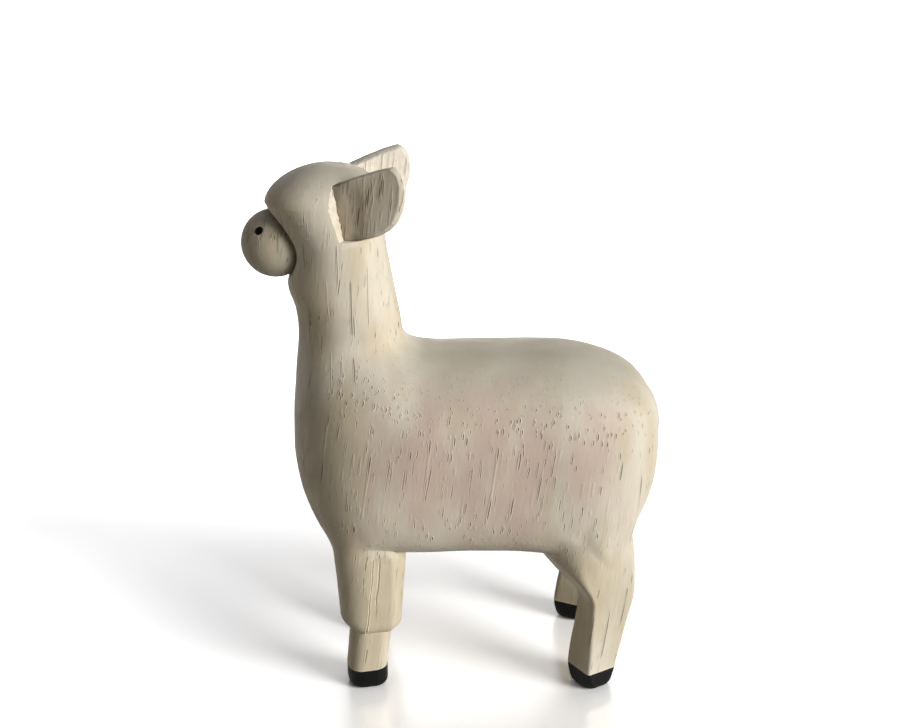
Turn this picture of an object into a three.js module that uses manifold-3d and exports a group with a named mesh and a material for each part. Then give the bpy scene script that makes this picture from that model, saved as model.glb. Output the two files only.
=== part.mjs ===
// Carved wooden alpaca figurine: a body block with a set-in muzzle, ears and tail, and four pegged legs.
// Millimetres, +Z up. The animal faces -Y and its left side is +X. The origin is on the ground, under its middle.
import * as THREE from "three";
import { mergeVertices } from "three/addons/utils/BufferGeometryUtils.js";
import Module from "manifold-3d";

const wasm = await Module();
wasm.setup();

// Fits
const glueGap = 0.3; // between a scribed or housed piece and the block that it is glued to
const pegGap = 0.15; // round a dowel or pin in its bore, and beyond its ends

// Body block. Heights are stacked up from the ground, and lengths run back from the chest.
const bellyHeight = 26; // belly above the ground
const bodyDepth = 36; // belly to back
const bodyLength = 66; // chest to rump
const bodyWidth = 34.6;
const breastHeight = 19.1; // furthest points of the chest and the rump above the belly
const breastRound = 12; // length of the round from the chest to the belly
const rumpRound = 25.6; // length of the round from the back to the rump
const buttockRound = 15; // length of the round from the belly to the rump
const shoulderWidth = 29; // at the height of the chest's furthest point
const neckSet = 1.5; // neck front behind the chest
const neckDepth = 18.3; // neck, front to back
const neckWidth = 18.6;
const napeFillet = 4.4; // radius between the neck and the back
const shoulderLength = 6; // level stretch of the back behind that radius
const neckLength = 12.2; // back to throat
const throatBulge = 1.6; // throat ahead of the neck
const faceHeight = 14.7; // throat to brow
const faceDrop = 7.9; // hollow of the face below the brow
const faceSet = 4.1; // hollow of the face behind the brow
const browReach = 5; // brow ahead of the neck
const napeLean = 3.2; // back of the head ahead of the back of the neck
const crownRise = 6.3; // brow to crown
const headWidth = 19.6;

// Roundness of the body block's sections: 2 is an ellipse, more is squarer
const headRound = 2.1;
const backRound = 2.4;
const bellyRound = 4;
const haunchRound = 5.5; // under the rear legs
const haunchShare = 0.6; // part of the belly that keeps its own roundness
const endRound = 2.7; // rump, seen from above and from the side
const browRound = 1.7; // front of the crown, seen from the side
const napeRound = 2.3; // back of the crown, seen from the side

// Muzzle: a ball with a flat back, held by a dowel
const muzzleDiameter = 11.7;
const muzzleSet = 1.6; // middle of the ball behind the brow
const muzzleDrop = 7.5; // middle of the ball below the brow
const muzzleFlat = 4.5; // flat back behind the middle of the ball
const muzzleTilt = 14; // degrees that the muzzle points down
const muzzleDowelDiameter = 3;
const muzzleDowelLength = 8;
const eyeDiameter = 1.3;
const eyeLength = 2.4;
const eyeDome = 0.35; // height of the eye's rounded end
const eyeProud = 0.2; // eye above the ball
const eyeTurn = 62; // degrees from straight ahead to the eye, seen from above
const eyeLift = 32; // degrees that the eye looks up

// Ears: flat leaves housed in the sides of the head, each held by a pin
const earLength = 12.6;
const earBase = 9.1; // height of the ear where it leaves the head
const earTip = 10.8; // height of the ear near its end
const earLobe = 0.92; // where the lower edge turns up, as a share of the length
const earLobeDrop = 0.5; // height of that place, as a share of half the base
const earPeak = 0.9; // where the upper edge turns down, as a share of the length
const earSag = 1.12; // fullness of the lower edge
const earSwell = 1.06; // fullness of the end
const earThickness = 2.7;
const earEdge = 0.8; // rounding of the ear's edges
const earBack = 7.8; // front of the ear ahead of the back of the head
const earDrop = 0.9; // middle of the ear's base below the brow
const earNotch = 2.3; // depth of the cut in front of the ear
const earPitch = 11; // degrees that the ear points up
const earSpread = 18; // degrees that the ear points out
const earPinSet = 3.2; // pin behind the front of the ear
const earPinDiameter = 1.6;
const earPinLength = 6;

// Tail: a low leaf on the rump
const tailWidth = 8;
const tailLength = 12;
const tailThickness = 0.5;
const tailRise = 3.5; // middle of the tail above the rump's furthest point

// Front legs: a thick upper leg over a slimmer lower leg, whose tenon runs up into the body
const frontLegIn = 7.1; // leg's middle inside the body's side
const frontLegY = 13.3; // leg's middle behind the chest
const frontTurn = 10; // degrees that the toes turn out
const frontTopWidth = 10.6; // at the belly
const frontTopDepth = 12.6;
const frontHousing = 7; // how far the leg's blank runs up into the body before it is scribed to it
const frontHousedWidth = 7.6; // at the top of the blank
const cuffHeight = 11.2; // lower end of the upper leg above the ground
const cuffWidth = 9.2;
const cuffDepth = 10.6;
const cuffRound = 2.4; // height of the rounded lower end
const cuffInset = 1.3; // how far that end draws in
const cuffRecess = 1.6; // how far the lower leg is let into the upper leg
const frontHoofAhead = 0.8; // hoof's middle ahead of the leg's
const frontShankWidth = 7;
const frontShankDepth = 7.2;
const frontFacet = 2.1; // corners whittled off the front legs
const tenonDiameter = 4.4;
const tenonDepth = 10; // tenon above the belly

// Rear legs: whittled square, with the toes turned out, each held by a dowel
const rearLegIn = 4.7; // hoof's middle inside the body's side
const rearLegY = 53.8; // hoof's middle behind the chest
const rearTurn = 30; // degrees that the toes turn out
const rearHoofWidth = 6.7;
const rearHoofDepth = 6.4;
const kneeHeight = 18;
const kneeTurn = 17;
const kneeBack = 2.5; // knee's middle behind the hoof's
const kneeIn = 0.4; // knee's middle inside the hoof's
const kneeWidth = 6.7;
const kneeDepth = 8.3;
const thighAhead = 0.9; // thigh's middle ahead of the hoof's, at the belly
const thighIn = 2.2; // thigh's middle inside the hoof's
const thighWidth = 10.5;
const thighDepth = 14;
const thighHousing = 6; // how far the leg's blank runs up into the body before it is scribed to it
const thighLean = 1.2; // how far the blank leans inwards over that height
const thighReach = 4.4; // how much further forward it reaches there
const rearFacet = 0.7; // corners whittled off the rear legs
const dowelIn = 1.3; // dowel inside the hoof's middle
const dowelBack = 1.7; // dowel behind the hoof's middle
const dowelDiameter = 3.2;
const dowelLength = 18;

// Hooves
const hoofHeight = 3.9;
const hoofRound = 2.8; // height of the rounded lower edge
const hoofInset = 1.1; // how far that edge draws in

// Facets
const ringPoints = 36; // round the body block
const pegSides = 20;
const ovalSides = 32;
const ballSides = 32;
const curveSteps = 10; // along each curve of the ear
const roundSteps = 4; // over each rounded edge or end

const paleWood = new THREE.MeshStandardMaterial({ color: "#e4d8c2", roughness: 0.62, metalness: 0 });
const dowelWood = new THREE.MeshStandardMaterial({ color: "#cfae7c", roughness: 0.7, metalness: 0 });
const blackPaint = new THREE.MeshStandardMaterial({ color: "#17181a", roughness: 0.45, metalness: 0 });

// A geometry's closed surface as a solid that can be cut and joined.
function solidOf(geometry) {
  const bare = new THREE.BufferGeometry();
  bare.setAttribute("position", geometry.getAttribute("position"));
  bare.setIndex(geometry.index);
  const merged = mergeVertices(bare);
  const vertProperties = merged.attributes.position.array;
  const triVerts = new Uint32Array(merged.index.array);
  return new wasm.Manifold(new wasm.Mesh({ numProp: 3, vertProperties, triVerts }));
}

// A cut or joined solid as a geometry again.
function geometryOf(solid) {
  const { vertProperties, triVerts } = solid.getMesh();
  const geometry = new THREE.BufferGeometry();
  geometry.setAttribute("position", new THREE.BufferAttribute(vertProperties, 3));
  geometry.setIndex(new THREE.BufferAttribute(triVerts, 1));
  geometry.computeVertexNormals();
  return geometry;
}

function mirrored(solid) {
  return solid.mirror([1, 0, 0]);
}

// A skin over a row of rings that all turn the same way. Each patch is split along its shorter diagonal, and each
// end closes on the point given for it.
function loft(rings, startPoint, endPoint) {
  const count = rings[0].length;
  const points = [...rings.flat(), startPoint, endPoint];
  const start = points.length - 2;
  const end = points.length - 1;
  const last = (rings.length - 1) * count;
  const index = [];
  for (let side = 0; side < count; side++) {
    const next = (side + 1) % count;
    for (let low = 0; low < last; low += count) {
      const [a, b, c, d] = [low + side, low + next, low + count + next, low + count + side];
      const rising = points[a].distanceTo(points[c]) < points[b].distanceTo(points[d]);
      index.push(...(rising ? [a, b, c, a, c, d] : [a, b, d, b, c, d]));
    }
    index.push(start, next, side, end, last + side, last + next);
  }
  return new THREE.BufferGeometry().setFromPoints(points).setIndex(index);
}

// A round peg along Z, with its lower end at the origin.
function peg(diameter, length) {
  const geometry = new THREE.CylinderGeometry(diameter / 2, diameter / 2, length, pegSides);
  return geometry.rotateX(Math.PI / 2).translate(0, 0, length / 2);
}

// The bore that a peg goes in, longer at both ends.
function bore(diameter, length) {
  return peg(diameter + 2 * pegGap, length + 2 * pegGap).translate(0, 0, -pegGap);
}

function smooth(from, to, share) {
  return from + (to - from) * THREE.MathUtils.smoothstep(share, 0, 1);
}

// A cubic between two values that leaves and arrives at the given slopes.
function glide(from, to, leave, arrive, share) {
  const rest = 1 - share;
  const ends = from * (1 + 2 * share) * rest ** 2 + to * (1 + 2 * rest) * share ** 2;
  return ends + leave * share * rest ** 2 - arrive * share ** 2 * rest;
}

// A power that keeps the sign, for superellipses.
function signedPower(value, power) {
  return Math.sign(value) * Math.abs(value) ** power;
}

// Body block: places in the side view, where a point is (y, z)
const chestY = -bodyLength / 2;
const rumpY = bodyLength / 2;
const backHeight = bellyHeight + bodyDepth;
const breastZ = bellyHeight + breastHeight;
const neckFrontY = chestY + neckSet;
const neckBackY = neckFrontY + neckDepth;
const neckFoot = backHeight + napeFillet;
const withersY = neckBackY + napeFillet;
const throatZ = backHeight + neckLength;
const browZ = throatZ + faceHeight;
const browY = neckFrontY - browReach;
const napeY = neckBackY - napeLean;

const crown = new THREE.Vector2((browY + napeY) / 2, browZ + crownRise);
const brow = new THREE.Vector2(browY, browZ);
const nape = new THREE.Vector2(napeY, browZ);
const face = new THREE.Vector2(browY + faceSet, browZ - faceDrop);
const throat = new THREE.Vector2(neckFrontY - throatBulge, throatZ);
const neckFront = new THREE.Vector2(neckFrontY, neckFoot);
const underNeck = new THREE.Vector2(neckFrontY, neckFoot - Math.PI * breastHeight);
const chest = new THREE.Vector2(chestY, breastZ);
const bellyFront = new THREE.Vector2(chestY + breastRound, bellyHeight);
const bellyRear = new THREE.Vector2(rumpY - buttockRound, bellyHeight);
const withers = new THREE.Vector2(withersY, backHeight);
const shoulder = new THREE.Vector2(withersY + shoulderLength, backHeight);
const hip = new THREE.Vector2(rumpY - rumpRound, backHeight);
const rump = new THREE.Vector2(rumpY, breastZ);

// A quarter of a superellipse that starts level at one point and ends upright at the other.
function quarterRound(level, upright, roundness) {
  return (share) => {
    const reached = Math.sin((share * Math.PI) / 2) ** (2 / roundness);
    const left = Math.cos((share * Math.PI) / 2) ** (2 / roundness);
    return new THREE.Vector2(
      level.x + (upright.x - level.x) * reached,
      upright.y + (level.y - upright.y) * left,
    );
  };
}

function straight(from, to) {
  return (share) => from.clone().lerp(to, share);
}

// A stretch of a longer curve.
function along(curve, from = 0, to = 1) {
  return (share) => curve.getPoint(THREE.MathUtils.lerp(from, to, share));
}

function reversed(curve) {
  return (share) => curve(1 - share);
}

// The front line from the brow to the chest, and the nape line that leans into the fillet above the back. The front
// line's last point only makes it come down the chest upright, at the pace of the round below.
const frontLine = new THREE.SplineCurve([brow, face, throat, neckFront, chest, underNeck]);
const neckShare = 3 / 5; // the neck's foot along the front line
const chestShare = 4 / 5;
const lean = Math.atan2(napeLean, browZ - neckFoot);
const filletArc = new THREE.EllipseCurve(withersY, neckFoot, napeFillet, napeFillet, Math.PI + lean, 1.5 * Math.PI);
const neckBack = filletArc.getPoint(0);
const handle = (browZ - neckFoot) / 3;
const napeLine = new THREE.CubicBezierCurve(
  nape,
  new THREE.Vector2(nape.x, nape.y - handle),
  new THREE.Vector2(neckBack.x - handle * Math.sin(lean), neckBack.y + handle * Math.cos(lean)),
  neckBack,
);

const headHalf = headWidth / 2;
const neckHalf = neckWidth / 2;
const shoulderHalf = shoulderWidth / 2;
const bodyHalf = bodyWidth / 2;
const shoulderSlope = (bodyHalf - neckHalf) / 2; // how fast the width grows at the shoulder

// The block's side view is two lines: one down the face and chest and along the belly, the other down the nape
// and along the back. Each stretch pairs a piece of both, with the half width and the roundness of the sections.
const stretches = [
  {
    steps: 7,
    front: quarterRound(crown, brow, browRound),
    back: quarterRound(crown, nape, napeRound),
    half: (share) => headHalf * Math.sin((share * Math.PI) / 2),
    upper: () => headRound,
    lower: () => headRound,
  },
  {
    steps: 10,
    front: along(frontLine, 0, neckShare),
    back: along(napeLine),
    half: (share) => smooth(headHalf, neckHalf, share),
    upper: () => headRound,
    lower: () => headRound,
  },
  {
    steps: 8,
    front: along(frontLine, neckShare, chestShare),
    back: along(filletArc),
    half: (share) => glide(neckHalf, shoulderHalf, 0, shoulderSlope, share),
    upper: (share) => smooth(headRound, backRound, share),
    lower: () => headRound,
  },
  {
    steps: 8,
    front: reversed(quarterRound(bellyFront, chest, 2)),
    back: straight(withers, shoulder),
    half: (share) => glide(shoulderHalf, bodyHalf, shoulderSlope, 0, share),
    upper: () => backRound,
    lower: (share) => smooth(headRound, bellyRound, share),
  },
  {
    steps: 10,
    front: straight(bellyFront, bellyRear),
    back: straight(shoulder, hip),
    half: () => bodyHalf,
    upper: () => backRound,
    lower: (share) => smooth(bellyRound, haunchRound, (share - haunchShare) / (1 - haunchShare)),
  },
  {
    steps: 12,
    front: quarterRound(bellyRear, rump, 2),
    back: quarterRound(hip, rump, endRound),
    half: (share) => bodyHalf * Math.cos((share * Math.PI) / 2) ** (2 / endRound),
    upper: () => backRound,
    lower: (share) => smooth(haunchRound, backRound, share),
  },
];

// One ring of the block: a superellipse from the back to the front line, grown all round by the given amount.
function bodyRing(stretch, share, grow) {
  const front = stretch.front(share);
  const back = stretch.back(share);
  const middle = front.clone().add(back).divideScalar(2);
  const reach = back.clone().sub(front).divideScalar(2);
  reach.setLength(reach.length() + grow);
  const half = stretch.half(share) + grow;
  return Array.from({ length: ringPoints }, (_, k) => {
    const angle = (2 * Math.PI * k) / ringPoints;
    const power = 2 / (Math.cos(angle) > 0 ? stretch.upper(share) : stretch.lower(share));
    const across = half * signedPower(Math.sin(angle), power);
    const along = signedPower(Math.cos(angle), power);
    return new THREE.Vector3(across, middle.x + reach.x * along, middle.y + reach.y * along);
  });
}

// The whole block before it is cut. Grown by the glue gap, it scribes the pieces that sit on it.
function bodyBlock(grow) {
  const rings = stretches.flatMap((stretch) =>
    Array.from({ length: stretch.steps }, (_, k) => bodyRing(stretch, (k + 1) / stretch.steps, grow)));
  rings.pop();
  const top = new THREE.Vector3(0, crown.x, crown.y + grow);
  const end = new THREE.Vector3(0, rump.x + grow, rump.y);
  return solidOf(loft(rings, top, end));
}

const grownBlock = bodyBlock(glueGap);

// Muzzle and eyes, made along +Z and then turned to point out of the face
const muzzleMiddle = new THREE.Vector3(0, browY + muzzleSet, browZ - muzzleDrop);

function onMuzzle(geometry) {
  const tilt = THREE.MathUtils.degToRad(90 + muzzleTilt);
  return geometry.rotateX(tilt).translate(...muzzleMiddle);
}

function onEye(geometry) {
  const lift = THREE.MathUtils.degToRad(90 - eyeLift);
  const turn = THREE.MathUtils.degToRad(eyeTurn);
  const innerEnd = muzzleDiameter / 2 + eyeProud - eyeLength;
  return geometry.translate(0, 0, innerEnd).rotateX(lift).rotateZ(turn).translate(...muzzleMiddle);
}

function flatBackedBall(diameter, flat) {
  const radius = diameter / 2;
  const rim = Math.asin(-flat / radius);
  const arc = new THREE.EllipseCurve(0, 0, radius, radius, rim, Math.PI / 2).getPoints(ballSides / 2);
  arc[arc.length - 1].x = 0;
  const geometry = new THREE.LatheGeometry([new THREE.Vector2(0, -flat), ...arc], ballSides);
  return geometry.rotateX(Math.PI / 2);
}

const muzzleDowelFoot = -muzzleFlat - muzzleDowelLength / 2;

function muzzleDowel() {
  return onMuzzle(peg(muzzleDowelDiameter, muzzleDowelLength).translate(0, 0, muzzleDowelFoot));
}

function muzzleDowelBore() {
  return solidOf(onMuzzle(bore(muzzleDowelDiameter, muzzleDowelLength).translate(0, 0, muzzleDowelFoot)));
}

function muzzle() {
  const eyeBore = solidOf(onEye(bore(eyeDiameter, eyeLength)));
  return solidOf(onMuzzle(flatBackedBall(muzzleDiameter, muzzleFlat)))
    .subtract(muzzleDowelBore())
    .subtract(eyeBore)
    .subtract(mirrored(eyeBore));
}

function eye() {
  const radius = eyeDiameter / 2;
  const straight = eyeLength - eyeDome;
  const dome = new THREE.EllipseCurve(0, straight, radius, eyeDome, 0, Math.PI / 2).getPoints(roundSteps);
  dome[dome.length - 1].x = 0;
  const profile = [new THREE.Vector2(0, 0), new THREE.Vector2(radius, 0), ...dome];
  return onEye(new THREE.LatheGeometry(profile, pegSides).rotateX(Math.PI / 2));
}

// Ear, made flat: X runs from the base to the tip, Y up the ear and Z out of the head, with the outer face at 0
function onHead(geometry) {
  const pitch = THREE.MathUtils.degToRad(earPitch);
  const spread = THREE.MathUtils.degToRad(earSpread);
  const upright = new THREE.Matrix4().makeBasis(
    new THREE.Vector3(0, 1, 0), new THREE.Vector3(0, 0, 1), new THREE.Vector3(1, 0, 0));
  return geometry
    .applyMatrix4(upright)
    .rotateX(pitch)
    .rotateZ(-spread)
    .translate(headHalf - earNotch, napeY - earBack, browZ - earDrop);
}

// A leaf with a straight base, a nearly straight upper edge and a rounded end.
function earOutline(grow) {
  const base = earBase / 2 + grow;
  const tip = earTip - earBase / 2 + grow;
  const end = earLength + grow;
  const shape = new THREE.Shape();
  shape.moveTo(-grow, -base);
  shape.bezierCurveTo(end / 2, -base * earSag, end * 0.75, -base * earSag, end * earLobe, -base * earLobeDrop);
  shape.bezierCurveTo(end * earSwell, tip / 4, end * earSwell, tip * 0.9, end * earPeak, tip);
  shape.quadraticCurveTo(end / 2, tip, -grow, base);
  shape.closePath();
  return shape;
}

function ear() {
  const plate = new THREE.ExtrudeGeometry(earOutline(0), {
    depth: earThickness - 2 * earEdge,
    bevelSize: earEdge,
    bevelOffset: -earEdge,
    bevelThickness: earEdge,
    bevelSegments: roundSteps,
    curveSegments: curveSteps,
  });
  return solidOf(onHead(plate.translate(0, 0, earEdge - earThickness))).subtract(earPinBore());
}

// The housing that the ear lies in, open outwards, with the notch in front of the ear's face.
function earHousing() {
  const cut = new THREE.ExtrudeGeometry(earOutline(glueGap), {
    depth: headWidth,
    bevelEnabled: false,
    curveSegments: curveSteps,
  });
  return solidOf(onHead(cut.translate(0, 0, -earThickness - glueGap)));
}

const earPinFoot = -earThickness / 2 - earPinLength;

function earPin() {
  return onHead(peg(earPinDiameter, earPinLength).translate(earPinSet, 0, earPinFoot));
}

function earPinBore() {
  return solidOf(onHead(bore(earPinDiameter, earPinLength).translate(earPinSet, 0, earPinFoot)));
}

// Tail: an oval leaf of even thickness, cut out of a shell that follows the rump
function tail() {
  const oval = new THREE.CylinderGeometry(1, 1, bodyDepth, ovalSides)
    .scale(tailWidth / 2, 1, tailLength / 2)
    .translate(0, rumpY, breastZ + tailRise);
  return bodyBlock(glueGap + tailThickness).intersect(solidOf(oval)).subtract(grownBlock);
}

// A whittled section: a rectangle with its corners cut off, turned about Z, at a place (x, y) and a height.
function whittledRing(place, width, depth, facet, turn, z) {
  const x = width / 2;
  const y = depth / 2;
  const corners = [
    [x, facet - y], [x, y - facet], [x - facet, y], [facet - x, y],
    [-x, y - facet], [-x, facet - y], [facet - x, -y], [x - facet, -y],
  ];
  const angle = THREE.MathUtils.degToRad(turn);
  return corners.map(([across, along]) => new THREE.Vector3(
    place.x + across * Math.cos(angle) - along * Math.sin(angle),
    place.y + across * Math.sin(angle) + along * Math.cos(angle),
    z,
  ));
}

// A stick through whittled sections, with flat ends.
function whittled(rings) {
  const middles = [rings[0], rings[rings.length - 1]].map((ring) =>
    ring.reduce((sum, point) => sum.addScaledVector(point, 1 / ring.length), new THREE.Vector3()));
  return loft(rings, ...middles);
}

// Rings of a lower end that draws in along a quarter ellipse, from the bottom up.
function drawnIn(ringAt, bottom, height, inset) {
  return Array.from({ length: roundSteps + 1 }, (_, k) => {
    const angle = (k / roundSteps) * (Math.PI / 2);
    return ringAt(inset * (1 - Math.sin(angle)), bottom + height * (1 - Math.cos(angle)));
  });
}

// A hoof: the leg's own section, with a drawn-in lower edge and a flat sole.
function hoof(place, width, depth, facet, turn) {
  const ringAt = (inset, z) => whittledRing(place, width - 2 * inset, depth - 2 * inset, facet, turn, z);
  return whittled([...drawnIn(ringAt, 0, hoofRound, hoofInset), ringAt(0, hoofHeight)]);
}

// Front leg
const frontPlace = new THREE.Vector2(bodyHalf - frontLegIn, chestY + frontLegY);
const frontHoofPlace = new THREE.Vector2(frontPlace.x, frontPlace.y - frontHoofAhead);
const tenonLength = bellyHeight + tenonDepth - cuffHeight;

function frontShankRing(place, grow, z) {
  return whittledRing(place, frontShankWidth + 2 * grow, frontShankDepth + 2 * grow, frontFacet, frontTurn, z);
}

function frontTenonBore() {
  return solidOf(bore(tenonDiameter, tenonLength).translate(...frontPlace, cuffHeight));
}

function frontUpperLeg() {
  const ringAt = (width, depth, z) => whittledRing(frontPlace, width, depth, frontFacet, frontTurn, z);
  const cuffAt = (inset, z) => ringAt(cuffWidth - 2 * inset, cuffDepth - 2 * inset, z);
  const blank = solidOf(whittled([
    ...drawnIn(cuffAt, cuffHeight, cuffRound, cuffInset),
    ringAt(frontTopWidth, frontTopDepth, bellyHeight),
    ringAt(frontHousedWidth, frontTopDepth, bellyHeight + frontHousing),
  ]));
  const recess = solidOf(whittled([
    frontShankRing(frontPlace, glueGap, cuffHeight - cuffRecess),
    frontShankRing(frontPlace, glueGap, cuffHeight + cuffRecess + glueGap),
  ]));
  return blank.subtract(grownBlock).subtract(recess).subtract(frontTenonBore());
}

function frontLowerLeg() {
  const shank = solidOf(whittled([
    frontShankRing(frontHoofPlace, 0, hoofHeight),
    frontShankRing(frontPlace, 0, cuffHeight),
    frontShankRing(frontPlace, 0, cuffHeight + cuffRecess),
  ]));
  return shank.add(solidOf(peg(tenonDiameter, tenonLength).translate(...frontPlace, cuffHeight)));
}

// Rear leg
const rearPlace = new THREE.Vector2(bodyHalf - rearLegIn, chestY + rearLegY);
const dowelFoot = bellyHeight - dowelLength / 2;
const dowelPlace = new THREE.Vector3(rearPlace.x - dowelIn, rearPlace.y + dowelBack, dowelFoot);

function rearDowel() {
  return peg(dowelDiameter, dowelLength).translate(...dowelPlace);
}

function rearDowelBore() {
  return solidOf(bore(dowelDiameter, dowelLength).translate(...dowelPlace));
}

function rearLeg() {
  const knee = new THREE.Vector2(rearPlace.x - kneeIn, rearPlace.y + kneeBack);
  const thigh = new THREE.Vector2(rearPlace.x - thighIn, rearPlace.y - thighAhead);
  const housed = new THREE.Vector2(thigh.x - thighLean, thigh.y - thighReach / 2);
  const blank = whittled([
    whittledRing(rearPlace, rearHoofWidth, rearHoofDepth, rearFacet, rearTurn, hoofHeight),
    whittledRing(knee, kneeWidth, kneeDepth, rearFacet, kneeTurn, kneeHeight),
    whittledRing(thigh, thighWidth, thighDepth, rearFacet, kneeTurn, bellyHeight),
    whittledRing(housed, thighWidth, thighDepth + thighReach, rearFacet, kneeTurn, bellyHeight + thighHousing),
  ]);
  return solidOf(blank).subtract(grownBlock).subtract(rearDowelBore());
}

// The body block with the muzzle's socket, the ears' housings and all the bores.
function torso() {
  const socket = solidOf(onMuzzle(flatBackedBall(muzzleDiameter + 2 * glueGap, muzzleFlat + glueGap)));
  const sideCuts = [earHousing(), earPinBore(), frontTenonBore(), rearDowelBore()];
  const cuts = [socket, muzzleDowelBore(), ...sideCuts, ...sideCuts.map(mirrored)];
  return cuts.reduce((block, cut) => block.subtract(cut), bodyBlock(0));
}

// Assembly: the right side is the left side mirrored
const figure = new THREE.Group();
const leftSide = new THREE.Group();
const rightSide = new THREE.Group();
rightSide.scale.x = -1;
figure.add(leftSide, rightSide);

function addPiece(group, name, shape, material) {
  const mesh = new THREE.Mesh(shape.isBufferGeometry ? shape : geometryOf(shape), material);
  mesh.name = name;
  group.add(mesh);
}

addPiece(figure, "torso", torso(), paleWood);
addPiece(figure, "muzzle", muzzle(), paleWood);
addPiece(figure, "muzzle_dowel", muzzleDowel(), dowelWood);
addPiece(figure, "tail", tail(), paleWood);

const frontHoof = hoof(frontHoofPlace, frontShankWidth, frontShankDepth, frontFacet, frontTurn);
const rearHoof = hoof(rearPlace, rearHoofWidth, rearHoofDepth, rearFacet, rearTurn);

for (const [side, group] of [["left", leftSide], ["right", rightSide]]) {
  addPiece(group, `${side}_eye`, eye(), blackPaint);
  addPiece(group, `${side}_ear`, ear(), paleWood);
  addPiece(group, `${side}_ear_pin`, earPin(), dowelWood);
  addPiece(group, `front_${side}_upper_leg`, frontUpperLeg(), paleWood);
  addPiece(group, `front_${side}_lower_leg`, frontLowerLeg(), paleWood);
  addPiece(group, `front_${side}_hoof`, frontHoof, blackPaint);
  addPiece(group, `rear_${side}_leg`, rearLeg(), paleWood);
  addPiece(group, `rear_${side}_dowel`, rearDowel(), dowelWood);
  addPiece(group, `rear_${side}_hoof`, rearHoof, blackPaint);
}

// The origin comes under the middle of the figure's length.
const box = new THREE.Box3().setFromObject(figure);
figure.position.y = -(box.min.y + box.max.y) / 2;

const alpaca = new THREE.Group();
alpaca.add(figure);

export default alpaca;
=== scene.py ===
"""Looks of a small carved wooden alpaca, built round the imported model's frame.

Lengths are millimetres until a mesh is written, which is in metres. The animal faces -Y, its left side is +X and it
stands on z = 0. Every wooden piece is a grid of points worked out with numpy and settled on a distance field, so
that neighbouring pieces run into each other as they do in carved wood.
"""
import logging
import math
from collections.abc import Callable, Sequence
from dataclasses import dataclass
from enum import Enum
from functools import cached_property, partial

import bpy
import numpy as np
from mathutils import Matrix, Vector
from mathutils.kdtree import KDTree


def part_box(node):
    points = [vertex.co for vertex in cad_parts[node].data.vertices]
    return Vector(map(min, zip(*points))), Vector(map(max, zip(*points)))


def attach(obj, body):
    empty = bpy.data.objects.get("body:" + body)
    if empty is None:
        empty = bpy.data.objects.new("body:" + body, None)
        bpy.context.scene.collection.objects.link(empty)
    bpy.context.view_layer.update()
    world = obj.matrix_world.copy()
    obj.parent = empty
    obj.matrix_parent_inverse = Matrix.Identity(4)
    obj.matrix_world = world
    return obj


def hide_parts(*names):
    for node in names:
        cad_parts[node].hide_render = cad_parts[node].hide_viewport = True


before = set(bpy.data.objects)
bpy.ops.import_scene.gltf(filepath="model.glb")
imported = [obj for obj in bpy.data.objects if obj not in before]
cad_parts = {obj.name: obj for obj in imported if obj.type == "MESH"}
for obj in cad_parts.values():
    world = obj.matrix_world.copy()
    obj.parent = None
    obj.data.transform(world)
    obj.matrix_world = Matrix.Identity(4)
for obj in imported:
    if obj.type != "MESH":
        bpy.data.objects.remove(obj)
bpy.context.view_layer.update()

Array = np.ndarray
Field = Callable[[Array], Array]
Adder = Callable[..., bpy.types.Node]

MM = 0.001
TINY = 1e-9
BODY = "root"
WEAR = "wear"
END_GRAIN = "end_grain"
PAINTED_GAP_SHADE = "painted_gap_shade"
MATH, VECTOR, RANGE = "ShaderNodeMath", "ShaderNodeVectorMath", "ShaderNodeMapRange"
NOISE, MIX, SMOOTH = "ShaderNodeTexNoise", "ShaderNodeMix", "SMOOTHSTEP"
WHITE = (1.0, 1.0, 1.0, 1.0)
log = logging.getLogger("alpaca")


class Slot(Enum):
    """Material slots of the record that the carved pieces take."""

    PALE_WOOD = "pale_wood"
    BLACK_PAINT = "black_paint"


class Side(Enum):
    """The two sides of the animal, as the CAD nodes name them."""

    LEFT = "left"
    RIGHT = "right"


def smooth_step(value: Array) -> Array:
    """An S curve from 0 to 1, level at both ends."""
    share = np.clip(value, 0.0, 1.0)
    return share * share * (3.0 - 2.0 * share)


def ease(start: Array, end: Array, share: Array) -> Array:
    """Goes from start to end along the S curve."""
    return start + (end - start) * smooth_step(share)


def glide(start: float, end: float, leave: float, arrive: float, share: Array) -> Array:
    """A cubic from start to end that leaves and arrives at the given slopes."""
    rest = 1.0 - share
    return (start * (1.0 + 2.0 * share) * rest**2 + end * share**2 * (3.0 - 2.0 * share)
            + leave * share * rest**2 - arrive * share**2 * rest)


def smooth_min(one: Array, other: Array, radius: Array) -> Array:
    """The smaller of two distances, with the crease between them filled over the radius."""
    near = np.clip(radius - np.abs(one - other), 0.0, None) / radius
    return np.minimum(one, other) - near * near * radius / 4.0


def smooth_max(one: Array, other: Array, radius: Array) -> Array:
    """The larger of two distances, with the edge between them rounded over the radius."""
    return -smooth_min(-one, -other, radius)


def interpolate(at: Array, heights: Sequence[float], values: Sequence[float], soft: float = 0.0) -> Array:
    """Straight lines through the values at their heights, averaged over a short stretch.

    Args:
        at: Heights to read at.
        heights: Rising heights of the known values.
        values: Known values.
        soft: Half the stretch that is averaged, which rounds the bends.

    Returns:
        One value for each height.
    """
    offsets = np.linspace(-soft, soft, 5) if soft else np.zeros(1)
    return sum(np.interp(at + offset, heights, values) for offset in offsets) / len(offsets)


def band(value: Array, middle: float, half: float, soft: float) -> Array:
    """1 well inside a band of values and 0 outside it, with edges that rise over a soft stretch."""
    return smooth_step((half - np.abs(value - middle)) / soft)


def turned(right: Array, back: Array, angle: Array) -> tuple[Array, Array]:
    """Distances outwards and rearwards, read in axes that are turned by an angle."""
    return right * np.cos(angle) + back * np.sin(angle), back * np.cos(angle) - right * np.sin(angle)


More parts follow.
